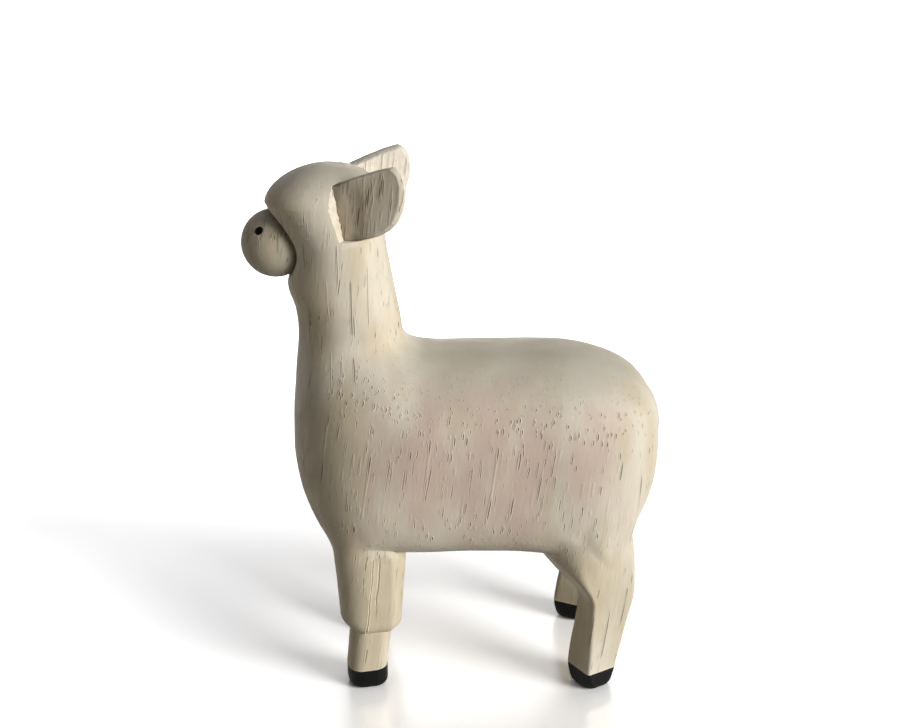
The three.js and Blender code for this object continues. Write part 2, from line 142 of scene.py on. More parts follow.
def ring_angles(count: int) -> Array:
    """Even angles round a ring."""
    return np.arange(count) * 2.0 * math.pi / count


def bezier(knots: Sequence[Sequence[float]], share: Array) -> Array:
    """Points on a Bezier curve of any degree: the binomial's weights times the knots."""
    t = share[:, None]
    degree = len(knots) - 1
    return sum(math.comb(degree, k) * t**k * (1 - t) ** (degree - k) * np.array(knot) for k, knot in enumerate(knots))


def superellipse(wide: Array, deep: Array, half: Array, length: Array, power: Array) -> Array:
    """Distance from a superellipse, which is its level less one, divided by the length of its slope.

    Args:
        wide: Place across it, as a share of its half width.
        deep: Place along it, as a share of its half length.
        half: Its half width.
        length: Its half length.
        power: Its squareness, where 2 is an ellipse.

    Returns:
        The distances, below zero inside.
    """
    wide, deep = np.abs(wide) + TINY, np.abs(deep) + TINY
    level = (wide**power + deep**power) ** (1.0 / power)
    slope = level ** (1.0 - power) * np.hypot(wide ** (power - 1.0) / half, deep ** (power - 1.0) / length)
    return (level - 1.0) / slope


def rounded(wide: Array, deep: Array, corner: Array) -> Array:
    """Distance from a rectangle with rounded corners, from the distances past its two pairs of sides."""
    wide, deep = wide + corner, deep + corner
    outside = np.hypot(np.maximum(wide, 0.0), np.maximum(deep, 0.0))
    return np.minimum(np.maximum(wide, deep), 0.0) + outside - corner


def slope_of(distance: Field, points: Array) -> Array:
    """The gradient of a distance field, from the differences over a hundredth of a millimetre each way."""
    step = 0.01
    shifts = np.eye(3) * step
    return np.stack([(distance(points + s) - distance(points - s)) / (2 * step) for s in shifts], axis=-1)


def settle(points: Array, distance: Field, target: Array, share: Array, rounds: int = 3) -> Array:
    """Moves points down a field's slope until it reads the target, by Newton's rule.

    Args:
        points: Points to move.
        distance: The field.
        target: Value wanted at each point, below zero to sink it.
        share: Part of each move that is made, from 0 to 1.
        rounds: Number of moves.

    Returns:
        The moved points.
    """
    least_steep, longest = 0.05, 1.5
    for _ in range(rounds):
        slope = slope_of(distance, points)
        steep = np.maximum((slope * slope).sum(-1), least_steep)
        step = np.clip((distance(points) - target) / steep, -longest, longest)
        points = points - (share * step)[..., None] * slope
    return points


def cast(distance: Field, origins: Array, directions: Array, far: float, halvings: int = 30) -> Array:
    """Where rays from inside a shape leave it, by halving the stretch that holds the surface.

    Args:
        distance: The shape's field, below zero inside.
        origins: Ray starts, inside the shape.
        directions: Unit directions.
        far: A length that reaches outside.
        halvings: How often the stretch is halved.

    Returns:
        The points on the surface.
    """
    low = np.zeros(directions.shape[:-1])
    high = np.full(directions.shape[:-1], far)
    for _ in range(halvings):
        middle = (low + high) / 2.0
        inside = distance(origins + directions * middle[..., None]) < 0.0
        low = np.where(inside, middle, low)
        high = np.where(inside, high, middle)
    return origins + directions * low[..., None]


def hand_cut(points: Array, wavelength: float, depth: float, seed: int) -> Array:
    """Unevenness left by the hand: fourteen seeded plane waves of about one wavelength, added up.

    Args:
        points: Where it is read.
        wavelength: Typical length of a swell.
        depth: Typical height of a swell.
        seed: Seed of the waves' directions and phases.

    Returns:
        A height for each point.
    """
    random = np.random.default_rng(seed)
    count = 14
    directions = random.normal(size=(count, 3))
    directions /= np.linalg.norm(directions, axis=1)[:, None]
    lengths = wavelength * random.uniform(0.6, 1.6, count)
    phases = random.uniform(0.0, 2.0 * math.pi, count)
    waves = np.sin(points @ (directions * (2.0 * math.pi / lengths)[:, None]).T + phases)
    return waves.sum(-1) * depth / math.sqrt(count / 2.0)


def grid_normals(grid: Array) -> Array:
    """Unit normals of a grid that closes round its columns, from the cross product of its two directions."""
    down = np.gradient(grid, axis=0)
    across = np.roll(grid, -1, axis=1) - np.roll(grid, 1, axis=1)
    normals = np.cross(down, across)
    return normals / np.maximum(np.linalg.norm(normals, axis=-1), TINY)[..., None]


@dataclass
class Skin:
    """A closed surface: a grid of rings, closed by a point at each end.

    Attributes:
        grid: Points, as rings by points by three.
        start: Point that closes the first ring.
        end: Point that closes the last ring.
    """

    grid: Array
    start: Array
    end: Array

    def mirrored(self) -> "Skin":
        """The same surface on the other side of the animal."""
        flip = np.array([-1.0, 1.0, 1.0])
        return Skin(self.grid * flip, self.start * flip, self.end * flip)

    def uneven(self, wavelength: float = 10.0, depth: float = 0.04) -> "Skin":
        """The surface with the same hand-cut swells along its normals on every piece, so that joints agree."""
        heights = hand_cut(self.grid, wavelength, depth, seed=5)
        return Skin(self.grid + grid_normals(self.grid) * heights[..., None], self.start, self.end)

    def mesh(self, name: str, sharp: float = 50.0) -> bpy.types.Mesh:
        """Writes the surface as a mesh in metres, with its faces outwards.

        Quads join each point to the next one round the ring and on the next ring, and triangles close the ends.
        The sum of the signed volumes under the faces tells whether they point outwards.

        Args:
            name: Name of the mesh.
            sharp: Degrees between faces past which an edge stays sharp.

        Returns:
            The mesh.
        """
        rings, count = self.grid.shape[:2]
        points = np.concatenate([self.grid.reshape(-1, 3), [self.start, self.end]])
        index = np.arange(rings * count).reshape(rings, count)
        onward = np.roll(index, -1, axis=1)
        quads = np.stack([index[:-1], onward[:-1], onward[1:], index[1:]], axis=-1).reshape(-1, 4)
        first = np.stack([np.full(count, rings * count), onward[0], index[0]], axis=-1)
        last = np.stack([np.full(count, rings * count + 1), index[-1], onward[-1]], axis=-1)
        a, b, c = points[quads[:, 0]], points[quads[:, 1]], points[quads[:, 2]]
        if (np.cross(a, b) * c).sum() < 0.0:
            quads, first, last = quads[:, ::-1], first[:, ::-1], last[:, ::-1]
        mesh = bpy.data.meshes.new(name)
        mesh.from_pydata((points * MM).tolist(), [], quads.tolist() + first.tolist() + last.tolist())
        mesh.polygons.foreach_set("use_smooth", np.ones(len(mesh.polygons), bool))
        mesh.set_sharp_from_angle(angle=math.radians(sharp))
        mesh.update()
        return mesh


def closeness(others: Array, reach: float) -> Field:
    """How near another piece is: 1 where they touch and 0 at the reach, from the distance to its nearest point."""
    tree = KDTree(len(others))
    for number, place in enumerate(others):
        tree.insert(place, number)
    tree.balance()
    return lambda points: smooth_step(1.0 - np.array([tree.find(point)[2] for point in points]) / reach)


def mark_wood(mesh: bpy.types.Mesh, raw: Field | None = None, painted_gap_shade: Field | None = None) -> None:
    """Stores how worn and how level each vertex is, and how much painted shade it gets in the gaps between pieces, from
    0 to 1, for the finishes to read.

    Edges wear where they are convex. The curvature at a vertex is minus twice the mean, over its edges, of the edge's
    height over the vertex's tangent plane divided by its length squared. Wear starts at the least curvature, in one
    over millimetres, and is at its most a span above it. A few rounds of averaging spread it. The grain stands
    upright, so the more level the surface lies, the more end grain it shows.

    Args:
        mesh: Finished mesh, in metres.
        raw: Share of raw wood at points in millimetres, where wood has broken away.
        painted_gap_shade: Share of painted shade there, darkening the gaps between pieces where shade falls.
    """
    least, span, most, rounds, shortest = 0.55, 1.6, 0.8, 3, 0.01
    count = len(mesh.vertices)
    points, normals, ends = np.empty(count * 3), np.empty(count * 3), np.empty(len(mesh.edges) * 2, int)
    mesh.vertices.foreach_get("co", points)
    mesh.vertex_normals.foreach_get("vector", normals)
    mesh.edges.foreach_get("vertices", ends)
    points, normals, ends = points.reshape(-1, 3) / MM, normals.reshape(-1, 3), ends.reshape(-1, 2)
    here, there = np.concatenate([ends, ends[:, ::-1]]).T
    edge = points[there] - points[here]
    bend = -2.0 * (normals[here] * edge).sum(-1) / np.maximum((edge * edge).sum(-1), shortest**2)
    shared = np.maximum(np.bincount(here, minlength=count), 1)
    wear = smooth_step((np.bincount(here, bend, count) / shared - least) / span) * most
    for _ in range(rounds):
        wear = (wear + np.bincount(here, wear[there], count) / shared) / 2.0
    if raw:
        wear = np.maximum(wear, raw(points))
    # Painted shade: how dark the gaps between pieces are painted, where shade falls.
    gap_shade = painted_gap_shade(points) if painted_gap_shade else np.zeros(count)
    for name, share in ((WEAR, wear), (END_GRAIN, np.abs(normals[:, 2])), (PAINTED_GAP_SHADE, gap_shade)):
        mesh.attributes.new(name, "FLOAT", "POINT").data.foreach_set("value", share)


def put(name: str, data: bpy.types.ID) -> bpy.types.Object:
    """Puts a mesh, lamp or camera into the scene, at the origin."""
    thing = bpy.data.objects.new(name, data)
    bpy.context.scene.collection.objects.link(thing)
    return thing


def place_piece(mesh: bpy.types.Mesh, material: bpy.types.Material, node: str) -> None:
    """Puts a finished mesh into the scene in place of its CAD node.

    Args:
        mesh: Finished mesh, in metres and in place.
        material: Its finish.
        node: CAD node that it stands for.
    """
    piece = put(mesh.name, mesh)
    mesh.materials.append(material)
    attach(piece, BODY)
    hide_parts(node)
    log.info("%s: %d faces", piece.name, len(mesh.polygons))


# Body block


@dataclass
class FanLines:
    """Rows of cuts through the body block, each from the front and belly line to the nape and back line.

    Attributes:
        front: Lower or front end of each cut, as y and z.
        back: Upper or rear end of each cut, as y and z.
        half: Half width of each cut.
        upper: Squareness of the half towards the back line, where 2 is an ellipse.
        lower: Squareness of the half towards the front line.
    """

    front: Array
    back: Array
    half: Array
    upper: Array
    lower: Array

    @staticmethod
    def joined(parts: Sequence["FanLines"]) -> "FanLines":
        """Several stretches in one."""
        return FanLines(*(np.concatenate([getattr(part, name) for part in parts])
                          for name in ("front", "back", "half", "upper", "lower")))


def quarter_round(level: Array, upright: Array, roundness: float, share: Array) -> Array:
    """A quarter of a superellipse that starts level at one point and ends upright at the other."""
    reached = np.sin(share * math.pi / 2.0) ** (2.0 / roundness)
    left = np.maximum(np.cos(share * math.pi / 2.0), 0.0) ** (2.0 / roundness)
    along = level[0] + (upright[0] - level[0]) * reached
    return np.stack([along, upright[1] + (level[1] - upright[1]) * left], axis=-1)


def straight(start: Array, end: Array, share: Array) -> Array:
    """Points on a straight line."""
    return start + (end - start) * share[:, None]


@dataclass
class BodyBlock:
    """Body, neck and hood in one block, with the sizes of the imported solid.

    The side view is two lines, one down the face and chest and along the belly, the other down the nape and along
    the back. A fan of cuts joins them, and each cut is a superellipse.
    """

    belly_height: float = 26.0
    body_depth: float = 36.0
    body_length: float = 66.0
    body_width: float = 34.6
    breast_height: float = 19.1
    breast_round: float = 12.0
    rump_round: float = 25.6
    buttock_round: float = 15.0
    shoulder_width: float = 29.0
    neck_set: float = 1.5
    neck_depth: float = 18.3
    neck_width: float = 18.6
    nape_fillet: float = 4.4
    shoulder_length: float = 6.0
    neck_length: float = 12.2
    throat_bulge: float = 1.6
    face_height: float = 14.7
    face_drop: float = 7.9
    face_set: float = 4.1
    brow_reach: float = 5.0
    nape_lean: float = 3.2
    crown_rise: float = 6.3
    head_width: float = 19.6
    head_square: float = 2.1
    back_square: float = 2.4
    belly_square: float = 4.0
    haunch_square: float = 5.5
    haunch_share: float = 0.6
    end_square: float = 2.7
    buttock_square: float = 2.25
    brow_square: float = 1.7
    nape_square: float = 2.3
    rows: tuple[int, ...] = (44, 120, 56, 60, 70, 80)
    fan_rows: tuple[int, ...] = (4, 4, 200, 300, 300, 240)
    columns: int = 208

    def __post_init__(self) -> None:
        """Works out where the lines of the side view start, from the frame's torso."""
        self.rump_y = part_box("torso")[1].y / MM
        self.chest_y = self.rump_y - self.body_length
        self.back_height = self.belly_height + self.body_depth
        self.breast_z = self.belly_height + self.breast_height
        self.neck_front_y = self.chest_y + self.neck_set
        self.neck_back_y = self.neck_front_y + self.neck_depth
        self.neck_foot = self.back_height + self.nape_fillet
        self.withers_y = self.neck_back_y + self.nape_fillet
        self.throat_z = self.back_height + self.neck_length
        self.brow_z = self.throat_z + self.face_height
        self.brow_y = self.neck_front_y - self.brow_reach
        self.nape_y = self.neck_back_y - self.nape_lean
        self.lean = math.atan2(self.nape_lean, self.brow_z - self.neck_foot)
        self.crown = np.array([(self.brow_y + self.nape_y) / 2.0, self.brow_z + self.crown_rise])
        self.brow = np.array([self.brow_y, self.brow_z])
        self.nape = np.array([self.nape_y, self.brow_z])
        self.chest = np.array([self.chest_y, self.breast_z])
        self.belly_front = np.array([self.chest_y + self.breast_round, self.belly_height])
        self.belly_rear = np.array([self.rump_y - self.buttock_round, self.belly_height])
        self.withers = np.array([self.withers_y, self.back_height])
        self.shoulder = np.array([self.withers_y + self.shoulder_length, self.back_height])
        self.hip = np.array([self.rump_y - self.rump_round, self.back_height])
        self.rump = np.array([self.rump_y, self.breast_z])

    def front_line(self, share: Array) -> Array:
        """The line from the brow over the face and throat to the chest: a uniform Catmull-Rom spline.

        Its last knot lies straight below the neck, so that the line comes down the chest upright.
        """
        face = np.array([self.brow_y + self.face_set, self.brow_z - self.face_drop])
        throat = np.array([self.neck_front_y - self.throat_bulge, self.throat_z])
        neck = np.array([self.neck_front_y, self.neck_foot])
        below = neck - np.array([0.0, math.pi * self.breast_height])
        knots = np.stack([self.brow, self.brow, face, throat, neck, self.chest, below])
        place = np.clip(share * 4.0, 0.0, 4.0 - TINY)
        piece = place.astype(int)
        t = (place - piece)[:, None]
        p0, p1, p2, p3 = (knots[piece + k] for k in range(4))
        v1, v2 = (p2 - p0) / 2.0, (p3 - p1) / 2.0
        return (2 * p1 - 2 * p2 + v1 + v2) * t**3 + (-3 * p1 + 3 * p2 - 2 * v1 - v2) * t**2 + v1 * t + p1

    def fillet(self, share: Array) -> Array:
        """The round between the neck and the back."""
        angle = math.pi + self.lean + (math.pi / 2.0 - self.lean) * share
        centre = np.array([self.withers_y, self.neck_foot])
        return centre + self.nape_fillet * np.stack([np.cos(angle), np.sin(angle)], axis=-1)

    def nape_line(self, share: Array) -> Array:
        """The back of the head and neck: a cubic Bezier curve that runs into the fillet."""
        end = self.fillet(np.zeros(1))[0]
        handle = (self.brow_z - self.neck_foot) / 3.0
        one = self.nape - np.array([0.0, handle])
        two = end + handle * np.array([-math.sin(self.lean), math.cos(self.lean)])
        return bezier([self.nape, one, two, end], share)

    def lines(self, counts: Sequence[int]) -> FanLines:
        """The fan of cuts from the crown to the rump.

        Args:
            counts: Rows in each of the six stretches: crown, head and neck, shoulders, chest, barrel and rump.

        Returns:
            The rows.
        """
        head, neck = self.head_width / 2.0, self.neck_width / 2.0
        shoulder, body = self.shoulder_width / 2.0, self.body_width / 2.0
        dome, mast, slope, breast, barrel, end = (np.arange(1, count + 1) / count for count in counts)

        def level(value: float, share: Array) -> Array:
            """One value all along a stretch."""
            return np.full(len(share), value)

        spread, at_neck = (body - neck) / 2.0, 0.75
        under = ease(self.belly_square, self.haunch_square, (barrel - self.haunch_share) / (1.0 - self.haunch_share))
        return FanLines.joined([
            FanLines(quarter_round(self.crown, self.brow, self.brow_square, dome),
                     quarter_round(self.crown, self.nape, self.nape_square, dome),
                     head * np.sin(dome * math.pi / 2.0), level(self.head_square, dome), level(self.head_square, dome)),
            FanLines(self.front_line(mast * at_neck), self.nape_line(mast), ease(head, neck, mast),
                     level(self.head_square, mast), level(self.head_square, mast)),
            FanLines(self.front_line(at_neck + slope * (1.0 - at_neck)), self.fillet(slope),
                     glide(neck, shoulder, 0.0, spread, slope),
                     ease(self.head_square, self.back_square, slope), level(self.head_square, slope)),
            FanLines(quarter_round(self.belly_front, self.chest, 2.0, 1.0 - breast),
                     straight(self.withers, self.shoulder, breast), glide(shoulder, body, spread, 0.0, breast),
                     level(self.back_square, breast), ease(self.head_square, self.belly_square, breast)),
            FanLines(straight(self.belly_front, self.belly_rear, barrel), straight(self.shoulder, self.hip, barrel),
                     level(body, barrel), level(self.back_square, barrel), under),
            FanLines(quarter_round(self.belly_rear, self.rump, self.buttock_square, end),
                     quarter_round(self.hip, self.rump, self.end_square, end),
                     body * np.maximum(np.cos(end * math.pi / 2.0), 0.0) ** (2.0 / self.end_square),
                     level(self.back_square, end), ease(self.haunch_square, self.back_square, end)),
        ])

    def skin(self) -> Skin:
        """The uncut block: each cut is a superellipse, read at even angles round its middle."""
        rows = self.lines(self.rows)
        angle = ring_angles(self.columns)
        sine, cosine = np.sin(angle)[None], np.cos(angle)[None]
        power = np.where(cosine > 0.0, rows.upper[:, None], rows.lower[:, None])
        radius = (np.abs(sine) ** power + np.abs(cosine) ** power) ** (-1.0 / power)
        middle, reach = (rows.front + rows.back) / 2.0, (rows.back - rows.front) / 2.0
        across = rows.half[:, None] * radius * sine
        along = radius * cosine
        grid = np.stack([across, middle[:, :1] + reach[:, :1] * along, middle[:, 1:] + reach[:, 1:] * along], axis=-1)
        return Skin(grid[:-1], np.array([0.0, *self.crown]), np.array([0.0, *self.rump]))

    @cached_property
    def fan(self) -> FanLines:
        """Fine rows of the chest, barrel and rump, for the field."""
        return self.lines(self.fan_rows)

    def distance(self, points: Array) -> Array:
        """Signed distance from the block's lower half, estimated in the cut that a point lies in.

        Halving finds the two rows that the point lies between, and the cut there is a superellipse.

        Args:
            points: Points below the neck.

        Returns:
            The distances, below zero inside.
        """
        x, y, z = np.moveaxis(points, -1, 0)
        rows = self.fan
        span = rows.back - rows.front

        def ahead(row: Array) -> Array:
            """How far a point lies ahead of a row's cut."""
            return span[row, 0] * (z - rows.front[row, 1]) - span[row, 1] * (y - rows.front[row, 0])

        low = np.full(x.shape, sum(self.fan_rows[:2]))
        high = np.full(x.shape, len(rows.half) - 2)
        for _ in range(len(rows.half).bit_length()):
            row = (low + high) // 2
            behind = ahead(row) < 0.0
            low, high = np.where(behind, row, low), np.where(behind, high, row)
        before, after = ahead(low), ahead(high)
        gap = before - after
        share = np.clip(before / np.where(np.abs(gap) < TINY, TINY, gap), 0.0, 1.0)

        def read(values: Array) -> Array:
            """A row value at the point."""
            return values[low] + (values[high] - values[low]) * share

        front = np.stack([read(rows.front[:, 0]), read(rows.front[:, 1])])
        back = np.stack([read(rows.back[:, 0]), read(rows.back[:, 1])])
        half, reach = read(rows.half), (back - front) / 2.0
        length = np.hypot(*reach)
        middle = (front + back) / 2.0
        along = ((y - middle[0]) * reach[0] + (z - middle[1]) * reach[1]) / length**2
        power = np.where(along > 0.0, read(rows.upper), read(rows.lower))
        return superellipse(x / half, along, half, length, power)


# Legs


@dataclass
class FrontLeg:
    """Thick whittled upper leg over a slimmer lower leg, with a hoof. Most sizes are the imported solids'.

    The upper leg's front is rounded and runs out of the chest. Its outer side, rear and the corner between them are
    flat knife cuts, and the outer cut is a little deeper than the rounded front. The waves of the split line are given
    as size, pace and start.
    """

    block: BodyBlock
    leg_x: float = 10.2
    leg_y: float = 13.3
    turn: float = 10.0
    top_width: float = 10.6
    top_depth: float = 12.6
    housing: float = 7.0
    housed_width: float = 7.6
    cuff_height: float = 11.2
    cuff_width: float = 9.2
    cuff_depth: float = 10.6
    cuff_round: float = 2.6
    hoof_ahead: float = 0.8
    shank_width: float = 7.0
    shank_depth: float = 7.2
    shank_round: float = 2.6
    hoof_height: float = 3.9
    hoof_round: float = 1.5
    front_square: float = 2.2
    cut_start: float = -1.55
    cut_slant: float = 0.096
    cuff_rise: float = 1.2
    rise_start: float = 1.0
    rise_run: float = 4.0
    cut_end: float = 3.0
    cut_depth: float = 0.4
    split_width: float = 0.12
    split_depth: float = 0.35
    split_waves: tuple[tuple[float, float, float], ...] = ((0.06, 0.9, 0.0), (0.03, 2.7, 1.0))
    second_behind: float = 1.2
    second_start: float = 16.0
    second_rise: float = 4.0
    second_share: float = 0.6
    rear_cut: float = 2.7
    chest_blend: float = 2.2
    chest_back: float = 1.5
    chest_fade: float = 6.0
    inner_blend: float = 1.5
    inner_fade: float = 4.0
    crease: float = 0.25
    edge: float = 0.35
    bend: float = 1.0
    seat: float = 2.0

    def __post_init__(self) -> None:
        """Works out the leg's middle in the frame."""
        self.place = np.array([self.leg_x, self.block.chest_y + self.leg_y])
        self.hoof_place = self.place - np.array([0.0, self.hoof_ahead])

    def local(self, points: Array, place: Array) -> tuple[Array, Array]:
        """Distances outwards and rearwards from the leg's middle, in the leg's own turn."""
        across, along = np.abs(points[..., 0]) - place[..., 0], points[..., 1] - place[..., 1]
        return turned(across, along, math.radians(self.turn))

    def sleeve(self, points: Array) -> Array:
        """Distance from the upper leg: a rounded front, then flat cuts that meet in crisp edges."""
        z = points[..., 2]
        across, along = self.local(points, self.place)
        top = self.block.belly_height
        heights = (self.cuff_height, top, top + self.housing)
        half = interpolate(z, heights, (self.cuff_width / 2, self.top_width / 2, self.housed_width / 2), self.bend)
        deep = interpolate(z, heights, (self.cuff_depth / 2, self.top_depth / 2, self.top_depth / 2), self.bend)
        below = 1.0 - smooth_step((z - top) / self.seat)
        past = along - self.split(z)
        second = self.second_share * smooth_step((z - self.second_start) / self.second_rise)
        second = second * np.exp(-(((past - self.second_behind) / self.split_width) ** 2))
        groove = self.split_depth * below * (np.exp(-((past / self.split_width) ** 2)) + second) * (across > 0.0)
        shape = superellipse(across / half, np.minimum(along, 0.0) / deep, half, deep, self.front_square) + groove
        well_inside = -9.0
        outer = np.where(past > 0.0, across - half + self.cut_depth * below + groove, well_inside)
        run = deep - self.cut_end
        corner = ((np.abs(across) - half) * run + (along - self.cut_end) * self.rear_cut) / np.hypot(run, self.rear_cut)
        shape = np.maximum(shape, outer)
        shape = smooth_max(shape, corner, self.edge)
        return smooth_max(shape, along - deep, self.edge)

    def split(self, z: Array) -> Array:
        """Where the knife split the wood at the front of the outer cut: a line that wanders down the leg."""
        wander = sum(size * np.sin(z * pace + start) for size, pace, start in self.split_waves)
        return self.cut_start + self.cut_slant * (z - self.cuff_height) + wander

    def chipped(self, points: Array) -> Array:
        """Share of raw wood beside the split and where the knife stopped above it, broken up along them."""
        across, along = self.local(points, self.place)
        past = along - self.split(points[..., 2])
        above = points[..., 2] - self.block.belly_height
        beside = smooth_step((past + 0.5) / 0.4) * smooth_step((0.1 - past) / 0.15) * smooth_step(0.5 - above)
        stop = 0.35 * band(above, 0.9, 0.6, 0.35) * band(past, 1.6, 3.6, 0.8)
        broken = smooth_step(0.5 + hand_cut(points * [1.0, 1.0, 0.4], 1.4, 0.6, seed=11))
        return 0.7 * np.maximum(beside, stop) * (across > 0.0) * broken

    def housed(self, points: Array) -> Array:
        """Distance from the upper leg with its upper end, which is inside the body."""
        top = self.block.belly_height + self.housing
        return smooth_max(self.sleeve(points), points[..., 2] - top, self.seat)

    def upper(self, points: Array) -> Array:
        """Distance from the upper leg with its rounded lower end, which rises a little to the front."""
        along = self.local(points, self.place)[1]
        low = self.cuff_height + self.cuff_rise * smooth_step((-along - self.rise_start) / self.rise_run)
        return smooth_max(self.sleeve(points), low - points[..., 2], self.cuff_round)

    def blend(self, points: Array) -> Array:
        """Radius that fills the crease to the body: wide on the chest side, none under the outer cut."""
        across, along = self.local(points, self.place)
        chest = smooth_step((self.chest_back - along) / self.chest_fade)
        inner = smooth_step(-across / self.inner_fade)
        return self.crease + (self.chest_blend - self.crease) * chest + self.inner_blend * inner

    def shank_middle(self, z: Array) -> Array:
        """The lower leg's middle at a height."""
        ahead = interpolate(z, (self.hoof_height, self.cuff_height), (self.hoof_ahead, 0.0))
        return np.stack([np.full_like(z, self.place[0]), self.place[1] - ahead], axis=-1)

    def shank(self, points: Array) -> Array:
        """Distance from the lower leg: a rectangle with wide rounded corners, leaning back a little."""
        across, along = self.local(points, self.shank_middle(points[..., 2]))
        return rounded(np.abs(across) - self.shank_width / 2, np.abs(along) - self.shank_depth / 2, self.shank_round)

    def hoof(self, points: Array) -> Array:
        """Distance from the hoof: the lower leg's section, rounded into a flat sole."""
        return smooth_max(self.shank(points), -points[..., 2], self.hoof_round)


@dataclass
class RearLeg:
    """Thigh and shank in one, whittled square, with the toes turned out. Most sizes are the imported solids'.

    Each section is a rectangle with rounded corners. The outer front edge is crisp on the shank and softens up the
    thigh until it is lost in the flank. The radii of that edge and of the blunter ones are given on the shank,
    followed by what the thigh and the sole add.
    """

    block: BodyBlock
    leg_x: float = 12.6
    leg_y: float = 53.8
    turn: float = 30.0
    hoof_width: float = 6.7
    hoof_depth: float = 6.4
    hoof_height: float = 3.9
    hoof_round: float = 1.7
    knee_height: float = 18.0
    knee_turn: float = 17.0
    knee_back: float = 2.5
    knee_in: float = 0.4
    knee_width: float = 6.7
    knee_depth: float = 8.3
    knee_slant: float = 0.19
    thigh_turn: float = 23.0
    thigh_ahead: float = 1.05
    thigh_in: float = 1.6
    thigh_width: float = 10.5
    thigh_depth: float = 14.9
    housing: float = 6.0
    thigh_lean: float = 1.2
    thigh_reach: float = 4.4
    flank_z: float = 37.0
    flank_sink: float = 0.12
    flank_taper: float = 0.015
    flank_blend: float = 4.5
    flank_ahead: float = 1.0
    flank_fade: float = 6.0
    front_blend: float = 0.5
    outer_fade: float = 4.0
    belly_blend: float = 0.5
    slant_start: float = 10.0
    slant_run: float = 5.0
    flush_run: float = 8.0
    flush_back: float = 5.0
    flush_fade: float = 6.0
    crisp: tuple[float, float, float] = (0.6, 5.2, 1.8)
    blunt: tuple[float, float, float] = (0.8, 1.7, 1.6)
    least_face: float = 0.2
    bend: float = 1.2
    turn_bend: float = 1.0
    seat: float = 2.0

    def __post_init__(self) -> None:
        """Works out the hoof's middle in the frame, and the heights of the hoof, knee, belly and upper end."""
        self.place = np.array([self.leg_x, self.block.chest_y + self.leg_y])
        self.top = self.block.belly_height + self.housing
        self.heights = (self.hoof_height, self.knee_height, self.block.belly_height, self.top)

    def middle(self, z: Array) -> Array:
        """The leg's middle at a height."""
        x, y = self.leg_x - self.thigh_in, self.place[1] - self.thigh_ahead
        across = (self.leg_x, self.leg_x - self.knee_in, x, x - self.thigh_lean)
        along = (self.place[1], self.place[1] + self.knee_back, y, y - self.thigh_reach / 2)
        return np.stack([interpolate(z, self.heights, values, self.bend) for values in (across, along)], axis=-1)

    def blend(self, points: Array) -> Array:
        """Radius that fills the crease to the body: wide on the flank behind, narrow in front and under the belly."""
        middle = self.middle(points[..., 2])
        outer = smooth_step((np.abs(points[..., 0]) - middle[..., 0]) / self.outer_fade)
        rear = smooth_step((points[..., 1] - middle[..., 1] + self.flank_ahead) / self.flank_fade)
        return self.belly_blend + outer * ease(self.front_blend, self.flank_blend, rear)

    def section(self, points: Array) -> Array:
        """Distance from the leg's section at each point's height.

        The knee is a little lower on the inside. Up the front of the thigh, the outer face turns into the body's own
        side, drawn straight down.
        """
        x, y, z = np.moveaxis(points, -1, 0)
        side = self.block.distance(np.stack([x, y, np.maximum(z, self.flank_z)], axis=-1))
        side = side + self.flank_sink + self.flank_taper * (self.flank_z - z)
        right = np.abs(x) - self.middle(z)[..., 0]
        z = z - self.knee_slant * right * smooth_step((z - self.slant_start) / self.slant_run)
        turns = (self.turn, self.knee_turn, self.thigh_turn)
        angle = np.radians(interpolate(z, self.heights[:3], turns, self.turn_bend))
        place = self.middle(z)
        right, back = np.abs(x) - place[..., 0], y - place[..., 1]
        across, along = turned(right, back, angle)
        widths = (self.hoof_width, self.knee_width, self.thigh_width, self.thigh_width)
        depths = (self.hoof_depth, self.knee_depth, self.thigh_depth, self.thigh_depth + self.thigh_reach)
        half, deep = (interpolate(z, self.heights, sizes, self.bend) / 2 for sizes in (widths, depths))
        up = smooth_step((z - self.knee_height) / (self.top - self.knee_height))
        down = smooth_step((self.hoof_height - z) / self.hoof_height)
        crisp, blunt = (shank + thigh * up + sole * down for shank, thigh, sole in (self.crisp, self.blunt))
        corner = np.where((across > 0.0) & (along < 0.0), np.minimum(crisp, half - self.least_face), blunt)
        flush = smooth_step((z - self.knee_height) / self.flush_run)
        flush = flush * smooth_step((self.flush_back - back) / self.flush_fade)
        outer = ease(across - half, side, flush)
        return rounded(np.where(across > 0.0, outer, -across - half), np.abs(along) - deep, corner)

    def housed(self, points: Array) -> Array:
        """Distance from the leg with its upper end, which is inside the body."""
        return smooth_max(self.section(points), points[..., 2] - self.top, self.seat)

    def hoof(self, points: Array) -> Array:
        """Distance from the hoof: the leg's lowest section, rounded into a flat sole."""
        return smooth_max(self.section(points), -points[..., 2], self.hoof_round)


